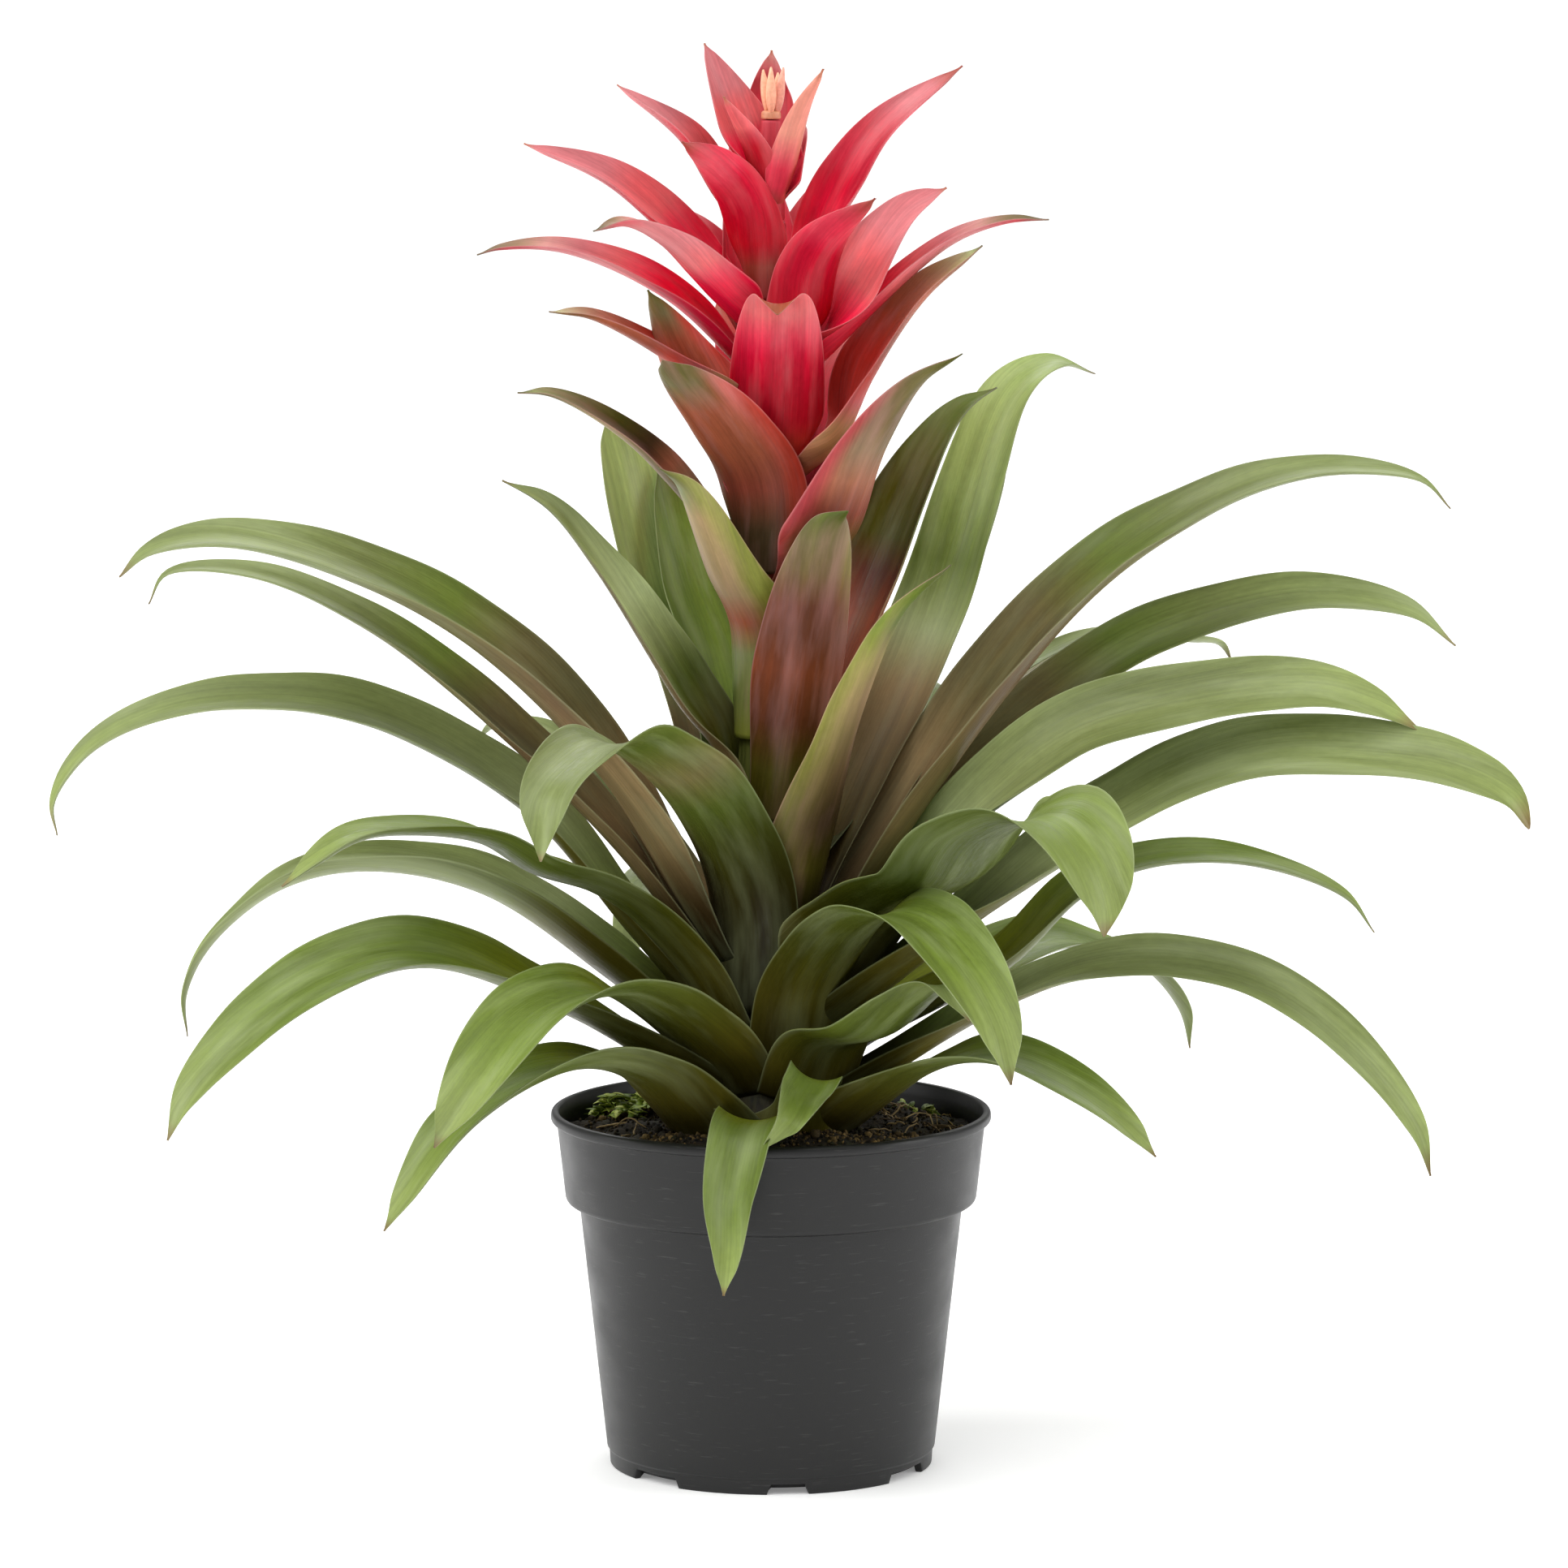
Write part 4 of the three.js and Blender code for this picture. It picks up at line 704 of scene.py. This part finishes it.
def noise(tree, vector, stretch, detail=3.0):
    """Noise along a vector, with stretch ripples for each unit of its three axes."""
    product = node(tree, "ShaderNodeVectorMath", [(0, vector), (1, stretch)], operation="MULTIPLY")
    values = [("Vector", product.outputs[0]), ("Scale", 1.0), ("Detail", detail)]
    return node(tree, "ShaderNodeTexNoise", values).outputs[0]


def ranged(tree, value, low, high, to_low, to_high):
    """A number moved from one range to another, and clamped there."""
    start = [("Value", value), ("From Min", low), ("From Max", high)]
    return node(tree, "ShaderNodeMapRange", [*start, ("To Min", to_low), ("To Max", to_high)]).outputs[0]


def maths(tree, operation, a, b=0.0):
    """One operation on two numbers."""
    return node(tree, "ShaderNodeMath", [(0, a), (1, b)], operation=operation).outputs[0]


def mixed(tree, amount, a, b, blend="MIX"):
    """Two colours mixed by an amount from 0 to 1."""
    mix = node(tree, "ShaderNodeMix", [(0, amount), (6, a), (7, b)], data_type="RGBA", blend_type=blend)
    return mix.outputs[2]


def toned(tree, colour, value, dark, light):
    """A colour made darker or lighter by a noise value about 0.3 to 0.7."""
    tone = ranged(tree, value, 0.3, 0.7, dark, light)
    grey = node(tree, "ShaderNodeCombineColor", [("Red", tone), ("Green", tone), ("Blue", tone)]).outputs[0]
    return mixed(tree, 1.0, colour, grey, "MULTIPLY")


def bumped(tree, shader, height, distance, strength=1.0):
    """Bump on a shader, its distance in millimetres."""
    values = [("Height", height), ("Distance", distance * MM), ("Strength", strength)]
    tree.links.new(node(tree, "ShaderNodeBump", values).outputs[0], shader.inputs["Normal"])


def skin(name, roughness, bloom_and_sheen, wax_and_sheen_most):
    """Skin of leaves or bracts: painted colour, long veins, streaks, waxy film and painted sheen, pale margin
    as painted highlight.
    """
    material, tree, shader = new_material(name, UNDER_PAINT, roughness)
    span = attribute(tree, "span")
    place = node(tree, "ShaderNodeSeparateXYZ", [(0, attribute(tree, "place"))]).outputs
    vein = noise(tree, span, (1.5, 0.012, 1), 2.0)
    streak = noise(tree, span, (0.16, 0.012, 1), 2.0)
    cloud = noise(tree, span, (0.13, 0.022, 1), 4.0)
    fleck = noise(tree, span, (0.9, 0.3, 1), 4.0)

    colour = toned(tree, attribute(tree, "paint", "Color"), vein, 0.9, 1.1)
    colour = toned(tree, colour, streak, 0.78, 1.2)
    colour = toned(tree, colour, fleck, 0.93, 1.06)
    # Waxy film mixed over the outer part of the blade: partly a painted sheen.
    free = ranged(tree, place[1], 0.25, 0.7, 0.15, wax_and_sheen_most)
    wax_and_sheen = maths(tree, "MULTIPLY", ranged(tree, cloud, 0.46, 0.72, 0, 1), free)
    colour = mixed(tree, wax_and_sheen, colour, rgba(bloom_and_sheen))
    # Pale line along the margin: a painted edge highlight.
    edge = ranged(tree, maths(tree, "ABSOLUTE", place[0]), 0.965, 0.99, 0, 0.2)
    colour = mixed(tree, edge, colour, rgba(bloom_and_sheen))
    tree.links.new(colour, shader.inputs["Base Color"])
    sheen = ranged(tree, fleck, 0.3, 0.7, roughness - 0.08, roughness + 0.1)
    tree.links.new(sheen, shader.inputs["Roughness"])
    shader.inputs["Specular IOR Level"].default_value = 0.22
    bumped(tree, shader, maths(tree, "ADD", vein, maths(tree, "MULTIPLY", streak, 2.0)), 0.22, 0.5)
    return material


def pot_plastic():
    """Charcoal satin plastic with a fine moulded grain and faint scuffs."""
    material, tree, shader = new_material("pot_plastic", "#171717", 0.42)
    place = place_in_mm(tree)
    grain = noise(tree, place, (2.2, 2.2, 2.2), 2.0)
    cloud = noise(tree, place, (0.05, 0.05, 0.09), 4.0)
    scuff = noise(tree, place, (0.12, 0.12, 1.4), 3.0)
    colour = toned(tree, rgba("#171717"), cloud, 0.88, 1.12)
    colour = mixed(tree, ranged(tree, scuff, 0.62, 0.8, 0, 0.18), colour, rgba("#6a6966"))
    tree.links.new(colour, shader.inputs["Base Color"])
    tree.links.new(ranged(tree, cloud, 0.3, 0.7, 0.34, 0.46), shader.inputs["Roughness"])
    shader.inputs["Specular IOR Level"].default_value = 0.35
    bumped(tree, shader, grain, 0.05, 0.5)
    return material


def peat():
    """Damp dark peat."""
    material, tree, shader = new_material("peat", "#1c150d", 0.9)
    place = place_in_mm(tree)
    crumb = noise(tree, place, (0.5, 0.5, 0.5), 6.0)
    patch = noise(tree, place, (0.08, 0.08, 0.08), 3.0)
    colour = mixed(tree, ranged(tree, crumb, 0.35, 0.7, 0, 1), rgba("#0f0b05"), rgba("#332713"))
    colour = mixed(tree, ranged(tree, patch, 0.52, 0.7, 0, 0.5), colour, rgba("#2a2f10"))
    tree.links.new(colour, shader.inputs["Base Color"])
    bumped(tree, shader, crumb, 1.2)
    return material


def speckled(name, roughness, dark, light, size, relief):
    """Painted colour with speckles between dark and light and a fine relief, all in millimetres."""
    material, tree, shader = new_material(name, UNDER_PAINT, roughness)
    grain = noise(tree, place_in_mm(tree), (1 / size, 1 / size, 1 / size), 4.0)
    colour = toned(tree, attribute(tree, "paint", "Color"), grain, dark, light)
    tree.links.new(colour, shader.inputs["Base Color"])
    bumped(tree, shader, grain, relief)
    return material


def sheath_skin():
    """Stem and its tight sheaths: olive brown with long ribs, turning crimson among the bracts."""
    material, tree, shader = new_material("sheath_skin", "#2c2a10", 0.6)
    place = place_in_mm(tree)
    height = node(tree, "ShaderNodeSeparateXYZ", [(0, place)]).outputs[2]
    rib = noise(tree, place, (0.7, 0.7, 0.03), 3.0)
    patch = noise(tree, place, (0.06, 0.06, 0.05), 3.0)
    colour = mixed(tree, ranged(tree, rib, 0.35, 0.65, 0, 1), rgba("#191806"), rgba("#3b3a18"))
    colour = mixed(tree, ranged(tree, patch, 0.45, 0.65, 0, 0.6), colour, rgba("#3a2915"))
    green = mixed(tree, rib, rgba("#4c5420"), rgba("#70742f"))
    red = mixed(tree, rib, rgba("#a3142c"), rgba("#d24a55"))
    colour = mixed(tree, ranged(tree, height, 150, 230, 0, 1), colour, green)
    colour = mixed(tree, ranged(tree, height, 265, 320, 0, 1), colour, red)
    tree.links.new(colour, shader.inputs["Base Color"])
    bumped(tree, shader, rib, 0.4)
    return material


def floor_paper():
    """Plain pale backdrop paper with a hardly visible tooth."""
    material, tree, shader = new_material("floor_paper", "#fafafa", 0.9)
    tooth = noise(tree, place_in_mm(tree), (0.8, 0.8, 0.8), 2.0)
    bumped(tree, shader, tooth, 0.02)
    shader.inputs["Emission Color"].default_value = (1, 1, 1, 1)
    shader.inputs["Emission Strength"].default_value = FLOOR_GLOW
    return material


# Pot, soil and stem


def rounded(corners, steps=6, longest=4):
    """A profile line through (radius, height, fillet) corners, with each fillet an arc and no long spans."""
    line = []
    for before, corner, after in zip([corners[0], *corners], corners, [*corners[1:], corners[-1]]):
        here = np.array(corner[:2], float)
        if corner[2] == 0:
            line.append(here)
            continue
        back, ahead = np.array(before[:2]) - here, np.array(after[:2]) - here
        back = back * corner[2] / np.linalg.norm(back)
        ahead = ahead * corner[2] / np.linalg.norm(ahead)
        line += [here + back * (1 - t) ** 2 + ahead * t**2 for t in np.linspace(0, 1, steps)]
    dense = [line[0]]
    for start, stop in zip(line, line[1:]):
        count = max(1, math.ceil(np.linalg.norm(stop - start) / longest))
        dense += [start + (stop - start) * k / count for k in range(1, count + 1)]
    return dense


def lathe(profile, step):
    """Points and faces of a profile turned about the axis in steps of these degrees."""
    turns = np.radians(np.arange(0, 360, step))
    points = []
    rows = []
    for r, z in profile:
        start = len(points)
        if r == 0:
            points.append((0, 0, z))
            rows.append([start] * (len(turns) + 1))
            continue
        points += [(r * math.cos(a), r * math.sin(a), z) for a in turns]
        rows.append([*range(start, len(points)), start])
    faces = []
    for low, high in zip(rows, rows[1:]):
        for j in range(len(turns)):
            face = list(dict.fromkeys([low[j], low[j + 1], high[j + 1], high[j]]))
            if len(face) > 2:
                faces.append(face)
    return np.array(points, float), faces


def add_pot():
    """The pot: rolled lip, band over a ledge, tapered body and notched foot."""
    corners = [
        (0, FLOOR_Z - WALL, 0), (FOOT_RADIUS - 3, FLOOR_Z - WALL, 0.5), (FOOT_RADIUS - 2.4, 0, 0.5),
        (FOOT_RADIUS, 0, 0.6), (FOOT_RADIUS + 0.3, FOOT_HEIGHT - 0.8, 0.3),
        (BODY_FOOT_RADIUS, FOOT_HEIGHT, 0.4),
        (BODY_RADIUS, BAND_FOOT_Z - 0.8, 0.8), (BAND_FOOT_RADIUS - 0.6, BAND_FOOT_Z, 0.8),
        (BAND_FOOT_RADIUS, BAND_FOOT_Z + 1.2, 0.5), (BAND_RADIUS, POT_HEIGHT - LIP_DROP, 0.4),
        (LIP_RADIUS, POT_HEIGHT - LIP_DROP + 0.5, 1.2), (LIP_RADIUS - 0.2, POT_HEIGHT, 1.6),
        (LIP_RADIUS - 2.6, POT_HEIGHT, 0.8), (BAND_RADIUS - WALL, POT_HEIGHT - LIP_DROP, 1),
        (BAND_FOOT_RADIUS - WALL, BAND_FOOT_Z + 2, 0.8), (BODY_RADIUS - WALL, BAND_FOOT_Z - 1, 0.8),
        (BODY_FOOT_RADIUS - WALL, FOOT_HEIGHT, 0.5), (FOOT_RADIUS - 5, FLOOR_Z, 0.5), (0, FLOOR_Z, 0),
    ]
    points, faces = lathe(rounded(corners), POT_STEP)
    radius = np.hypot(points[:, 0], points[:, 1])
    azimuth = np.degrees(np.arctan2(points[:, 1], points[:, 0]))
    foot = (points[:, 2] < NOTCH_HEIGHT) & (radius > FOOT_RADIUS - 2.7)
    for i in range(NOTCHES):
        off = (azimuth - NOTCH_TURN - i * 360 / NOTCHES + 180) % 360 - 180
        cut = foot & (np.abs(off) < NOTCH_WIDTHS[min(i, 1)] / 2)
        points[cut, 2] = NOTCH_HEIGHT + 0.1 * points[cut, 2]
    dress(make_object("pot_shell", points, faces, pot_plastic()), "pot", "pot")


def soil_height(rng):
    """A function that gives the bumpy height of the soil at any x and y."""
    waves = [(rng.uniform(6, 26), rng.uniform(0, 2 * math.pi), rng.uniform(0, 6.3)) for _ in range(24)]

    def height(x, y):
        radius = np.hypot(x, y)
        bumps = sum(
            length / 26 * np.sin(2 * math.pi * (x * math.cos(turn) + y * math.sin(turn)) / length + phase)
            for length, turn, phase in waves
        )
        heaps = sum(
            rise * np.exp(-(((x - at_x) / wide) ** 2 + ((y - at_y) / deep) ** 2))
            for at_x, at_y, wide, deep, rise in SOIL_HEAPS
        )
        level = SOIL_Z + (SOIL_CROWN_Z - SOIL_Z) * smooth(radius, 66, 34)
        return level + 0.35 * bumps + heaps * smooth(radius, 70, 60)

    return height


def add_soil(height):
    """The peat body, with a bumpy top."""
    inset = WALL + 0.5
    corners = [
        (0, SOIL_FOOT_Z, 0), (BODY_FOOT_RADIUS - inset - 1, SOIL_FOOT_Z, 1),
        (BODY_RADIUS - inset, BAND_FOOT_Z - 1, 0), (BAND_FOOT_RADIUS - inset, BAND_FOOT_Z + 3, 0),
        (SOIL_RADIUS, SOIL_Z, 0), (0, SOIL_CROWN_Z, 0),
    ]
    points, faces = lathe(rounded(corners, longest=1.2), 2)
    top = points[:, 2] > SOIL_Z - 0.01
    points[top, 2] = height(points[top, 0], points[top, 1])
    dress(make_object("soil_peat", points, faces, peat()), "soil", "soil")


def add_stem():
    """The stem with its inner sheaths, ribbed along its length."""
    rng = np.random.default_rng([SEED, STEM_DRAW])
    profile = rounded([(0, STEM[0][1], 0), *[(r, z, 1.5) for r, z in STEM], (0, STEM[-1][1], 0)])
    points, faces = lathe(profile, 4)
    turn = np.arctan2(points[:, 1], points[:, 0])
    ribs = sum(np.sin(turn * count + phase) for count, phase in zip((5, 9, 14, 23), rng.uniform(0, 6.3, 4)))
    points[:, :2] *= (0.97 + 0.012 * ribs)[:, None]
    skin_of_stem = sheath_skin()
    dress(make_object("stem_sheaths", points, faces, skin_of_stem), "stem", "stem")
    core = [(0, TUFT_CORE[0][1], 0), *[(r, z, 1) for r, z in TUFT_CORE], (0, TUFT_CORE[-1][1], 0)]
    dress(make_object("tuft_core", *lathe(rounded(core), 10), skin_of_stem), "stem")


def painted_object(name, parts, material):
    """One object from many small (points, faces, colour) parts."""
    points, faces, paint = merged([(p, f, np.tile(rgba(colour), (len(p), 1))) for p, f, colour in parts])
    return make_object(name, points, faces, material, [("paint", "FLOAT_COLOR", paint)])


# Florets and what lies on the soil


def bud(height, radius):
    """A slender three-sided floret bud standing on the origin."""
    share = np.linspace(0, 1, 15)
    thick = radius * np.sin(np.pi * np.clip(share * 0.9 + 0.06, 0, 1)) ** 0.7 * (1 - 0.35 * share)
    profile = [(0, 0), *[(max(r, 0.1), height * s) for r, s in zip(thick, share)], (0, height + 0.1)]
    points, faces = lathe(profile, 20)
    lobes = 1 + 0.12 * np.cos(3 * np.arctan2(points[:, 1], points[:, 0]) + 3 * points[:, 2] / height)
    points[:, :2] *= lobes[:, None]
    return points, faces


def turned(points, axis, degrees):
    """Points turned about an axis through the origin."""
    return points @ np.array(Matrix.Rotation(math.radians(degrees), 3, axis)).T


def add_florets():
    """Peach buds in the middle of the tuft."""
    parts = []
    for i in range(BUDS):
        middle = i == 0
        points, faces = bud(MIDDLE_BUD_HEIGHT if middle else BUD_HEIGHT + i % 3, BUD_RADIUS)
        points = turned(points, "Y", 0 if middle else BUD_LEAN)
        points = points + [0 if middle else BUD_REACH, 0, BUD_FOOT_Z]
        points = turned(points, "Z", BUD_TURN + 360 / BUDS * i)
        parts.append((points, faces, BUD_COLOURS[i % 3]))
    disc = [(0, DISC_FOOT_Z, 0), (DISC_RADIUS, DISC_FOOT_Z, 0.6)]
    disc += [(DISC_RADIUS - 0.2, DISC_TOP_Z - 0.2, 1), (0, DISC_TOP_Z, 0)]
    parts.append((*lathe(rounded(disc), 12), DISC_COLOUR))
    material = speckled("floret_skin", 0.45, 0.85, 1.15, 1.2, 0.15)
    dress(painted_object("floret_buds", parts, material), "florets", "florets")


def lump(rng, size):
    """A crumb of peat: a rough ball, flattened a little."""
    ball = bmesh.new()
    bmesh.ops.create_icosphere(ball, subdivisions=2 if size > 2.2 else 1, radius=1)
    points = np.array([v.co for v in ball.verts])
    faces = [[v.index for v in f.verts] for f in ball.faces]
    ball.free()
    points = points * rng.uniform(0.78, 1.2, (len(points), 1)) * rng.uniform(0.6, 1.15, 3)
    return turned(points * size / 2, "Z", rng.uniform(0, 360)), faces


def add_crumbs(height):
    """Crumbs of peat over the soil, thick on its heaps."""
    rng = np.random.default_rng([SEED, CRUMB_DRAW])
    parts = []
    for i in range(CRUMBS):
        size = rng.uniform(2, 3.6) if i < LARGE_CRUMBS else rng.uniform(0.7, 1.8)
        colours = CRUMB_COLOURS
        if i % 3:
            turn = rng.uniform(0, 2 * math.pi)
            reach = CRUMB_REACH * math.sqrt(rng.uniform(0.15, 1)) - size / 2
            x, y = reach * math.cos(turn), reach * math.sin(turn)
        else:
            heap = SOIL_HEAPS[rng.integers(len(SOIL_HEAPS))]
            x, y = rng.normal(heap[0], heap[2] * 0.6), rng.normal(heap[1], heap[3] * 0.6)
            colours = HEAP_COLOURS
        if math.hypot(x, y) > CRUMB_REACH - size / 2:
            continue
        points, faces = lump(rng, size)
        parts.append((points + [x, y, height(x, y) + 0.2 * size], faces, colours[rng.integers(len(colours))]))
    dress(painted_object("soil_crumbs", parts, speckled("peat_crumb", 0.9, 0.6, 1.35, 0.8, 0.5)), "soil")


def tube(line, radius, sides=5):
    """A thin tube along a line of points, drawn to a point at both ends."""
    line = np.asarray(line, float)
    tangent = np.gradient(line, axis=0)
    tangent /= np.linalg.norm(tangent, axis=1)[:, None]
    across = np.cross(tangent, [0.31, 0.2, 0.93])
    across /= np.linalg.norm(across, axis=1)[:, None]
    up = np.cross(tangent, across)
    size = radius * np.sin(np.linspace(0.25, math.pi - 0.25, len(line))) ** 0.4
    turn = np.linspace(0, 2 * np.pi, sides, endpoint=False)[None, :, None]
    ring = line[:, None] + size[:, None, None] * (across[:, None] * np.cos(turn) + up[:, None] * np.sin(turn))
    faces = []
    for start in range(0, (len(line) - 1) * sides, sides):
        for j in range(sides):
            k = (j + 1) % sides
            faces.append([start + j, start + k, start + sides + k, start + sides + j])
    ends = [list(range(sides))[::-1], list(range((len(line) - 1) * sides, len(line) * sides))]
    return ring.reshape(-1, 3), faces + ends


def add_fibres(height):
    """Dry fibres that lie on the soil, most of them at the right."""
    rng = np.random.default_rng([SEED, FIBRE_DRAW])
    parts = []
    for i in range(FIBRES):
        turn = math.radians(rng.normal(28, 26)) if i % 3 else rng.uniform(0, 2 * math.pi)
        reach = rng.uniform(40, 64)
        x, y = reach * math.cos(turn), reach * math.sin(turn)
        heading, bend, length = rng.uniform(0, 6.3), rng.normal(0, 0.12), rng.uniform(6, 17)
        line = []
        for k in range(9):
            heading += bend + rng.normal(0, 0.15)
            x, y = x + math.cos(heading) * length / 8, y + math.sin(heading) * length / 8
            inward = min(1, FIBRE_REACH / math.hypot(x, y))
            x, y = x * inward, y * inward
            line.append([x, y, height(x, y) + 0.9 + 1.4 * math.sin(k * math.pi / 8) * rng.uniform(0.2, 1)])
        parts.append((*tube(line, rng.uniform(0.18, 0.4)), FIBRE_COLOURS[rng.integers(len(FIBRE_COLOURS))]))
    dress(painted_object("soil_fibres", parts, speckled("dry_fibre", 0.8, 0.7, 1.2, 1.5, 0.1)), "soil")


def leaflet(length, width):
    """A small pointed leaf from the origin along X, folded a little along its middle."""
    share = np.linspace(0, 1, 7)
    half = np.maximum(width / 2 * np.sin(np.pi * share**0.8) ** 0.8, 0.06)
    points = []
    for thick in (0, -0.18):
        for s, w in zip(share, half):
            droop = -0.25 * length * s**2 + thick
            edge = droop + 0.35 * w
            points += [(length * s, -w, edge), (length * s, 0, droop), (length * s, w, edge)]
    faces = []
    n = len(share)
    for i in range(n - 1):
        a, b = 3 * i, 3 * (i + n)
        faces += [[a, a + 3, a + 4, a + 1], [a + 1, a + 4, a + 5, a + 2]]
        faces += [[b, b + 1, b + 4, b + 3], [b + 1, b + 2, b + 5, b + 4]]
        faces += [[a, b, b + 3, a + 3], [a + 2, a + 5, b + 5, b + 2]]
    return np.array(points), faces


def sprig(rng, foot, heading, length, leaf):
    """A creeping sprig: a bent stalk with leaflets on both sides."""
    parts = []
    line = []
    place = np.array(foot, float)
    for k in range(9):
        rise = math.radians(48 - 9 * k)
        place = place + np.array([math.cos(heading) * math.cos(rise), math.sin(heading) * math.cos(rise),
                                  math.sin(rise)]) * length / 8
        place[:2] *= min(1, SPRIG_REACH / math.hypot(*place[:2]))
        line.append(place)
        for side in (-1, 1):
            points, faces = leaflet(leaf * rng.uniform(0.7, 1.1), leaf * rng.uniform(0.38, 0.55))
            points = turned(turned(points, "X", rng.uniform(-25, 25)), "Y", rng.uniform(-40, 5))
            points = turned(points, "Z", math.degrees(heading) + side * rng.uniform(35, 75))
            parts.append((points + place, faces, SPRIG_COLOURS[rng.integers(len(SPRIG_COLOURS))]))
        heading += rng.normal(0, 0.15)
    parts.append((*tube(line, 0.35), SPRIG_COLOURS[0]))
    return parts


def add_sprigs(height):
    """Small creeping plants on the soil: a clump at the left, a few elsewhere."""
    rng = np.random.default_rng([SEED, SPRIG_DRAW])
    parts = []
    for x, y, spread, count, length, leaf in SPRIG_CLUMPS:
        for _ in range(count):
            at_x, at_y = rng.normal(x, spread), rng.normal(y, spread)
            heading = rng.uniform(0, 2 * math.pi)
            foot = (at_x, at_y, height(at_x, at_y) - 0.5)
            parts += sprig(rng, foot, heading, length * rng.uniform(0.7, 1.1), leaf)
    dress(painted_object("moss_sprigs", parts, speckled("moss_skin", 0.6, 0.75, 1.3, 1.1, 0.15)), "soil")


# Studio


def add_area_light(name, place, size, watts):
    """A soft rectangular light aimed at the middle of the plant. place and size are in metres."""
    data = bpy.data.lights.new(name, "AREA")
    data.shape = "RECTANGLE"
    data.size, data.size_y = size
    data.energy = watts
    lamp = bpy.data.objects.new(name, data)
    lamp.location = place
    lamp.rotation_euler = (Vector(LIGHT_AIM) - lamp.location).to_track_quat("-Z", "Y").to_euler()
    bpy.context.scene.collection.objects.link(lamp)


def add_studio():
    """Pale floor, even sky and soft lights."""
    corners = [(x * FLOOR_HALF, y * FLOOR_HALF, 0) for x, y in ((-1, -1), (1, -1), (1, 1), (-1, 1))]
    make_object("studio_floor", corners, [[0, 1, 2, 3]], floor_paper())
    world = bpy.data.worlds.new("studio")
    world.use_nodes = True
    world.node_tree.nodes["Background"].inputs["Color"].default_value = (1, 1, 1, 1)
    world.node_tree.nodes["Background"].inputs["Strength"].default_value = SKY
    bpy.context.scene.world = world
    sun = bpy.data.lights.new("sun", "SUN")
    sun.energy = SUN
    sun.angle = math.radians(SUN_WIDTH)
    lamp = bpy.data.objects.new("sun", sun)
    lamp.rotation_euler = (-Vector(SUN_PLACE)).to_track_quat("-Z", "Y").to_euler()
    bpy.context.scene.collection.objects.link(lamp)
    for light in AREA_LIGHTS:
        add_area_light(*light)
    bpy.context.scene.view_settings.view_transform = "Standard"


def add_camera():
    """The photograph's camera."""
    data = bpy.data.cameras.new("camera")
    data.sensor_width = SENSOR
    data.lens = FOCAL_PIXELS * SENSOR / PHOTO_SIDE
    data.shift_x = (PHOTO_SIDE / 2 - AXIS_PIXEL[0]) / PHOTO_SIDE
    data.shift_y = (AXIS_PIXEL[1] - PHOTO_SIDE / 2) / PHOTO_SIDE
    data.clip_end = 200
    camera = bpy.data.objects.new("camera", data)
    camera.location = (0, -EYE_DISTANCE * MM, EYE_HEIGHT * MM)
    aim = Vector((0, 0, AIM_HEIGHT * MM)) - camera.location
    camera.rotation_euler = aim.to_track_quat("-Z", "Y").to_euler()
    bpy.context.scene.collection.objects.link(camera)
    bpy.context.scene.camera = camera


add_camera()
add_studio()
add_pot()
soil_level = soil_height(np.random.default_rng([SEED, SOIL_DRAW]))
add_soil(soil_level)
add_crumbs(soil_level)
add_fibres(soil_level)
add_sprigs(soil_level)
add_stem()
add_florets()
add_blades()
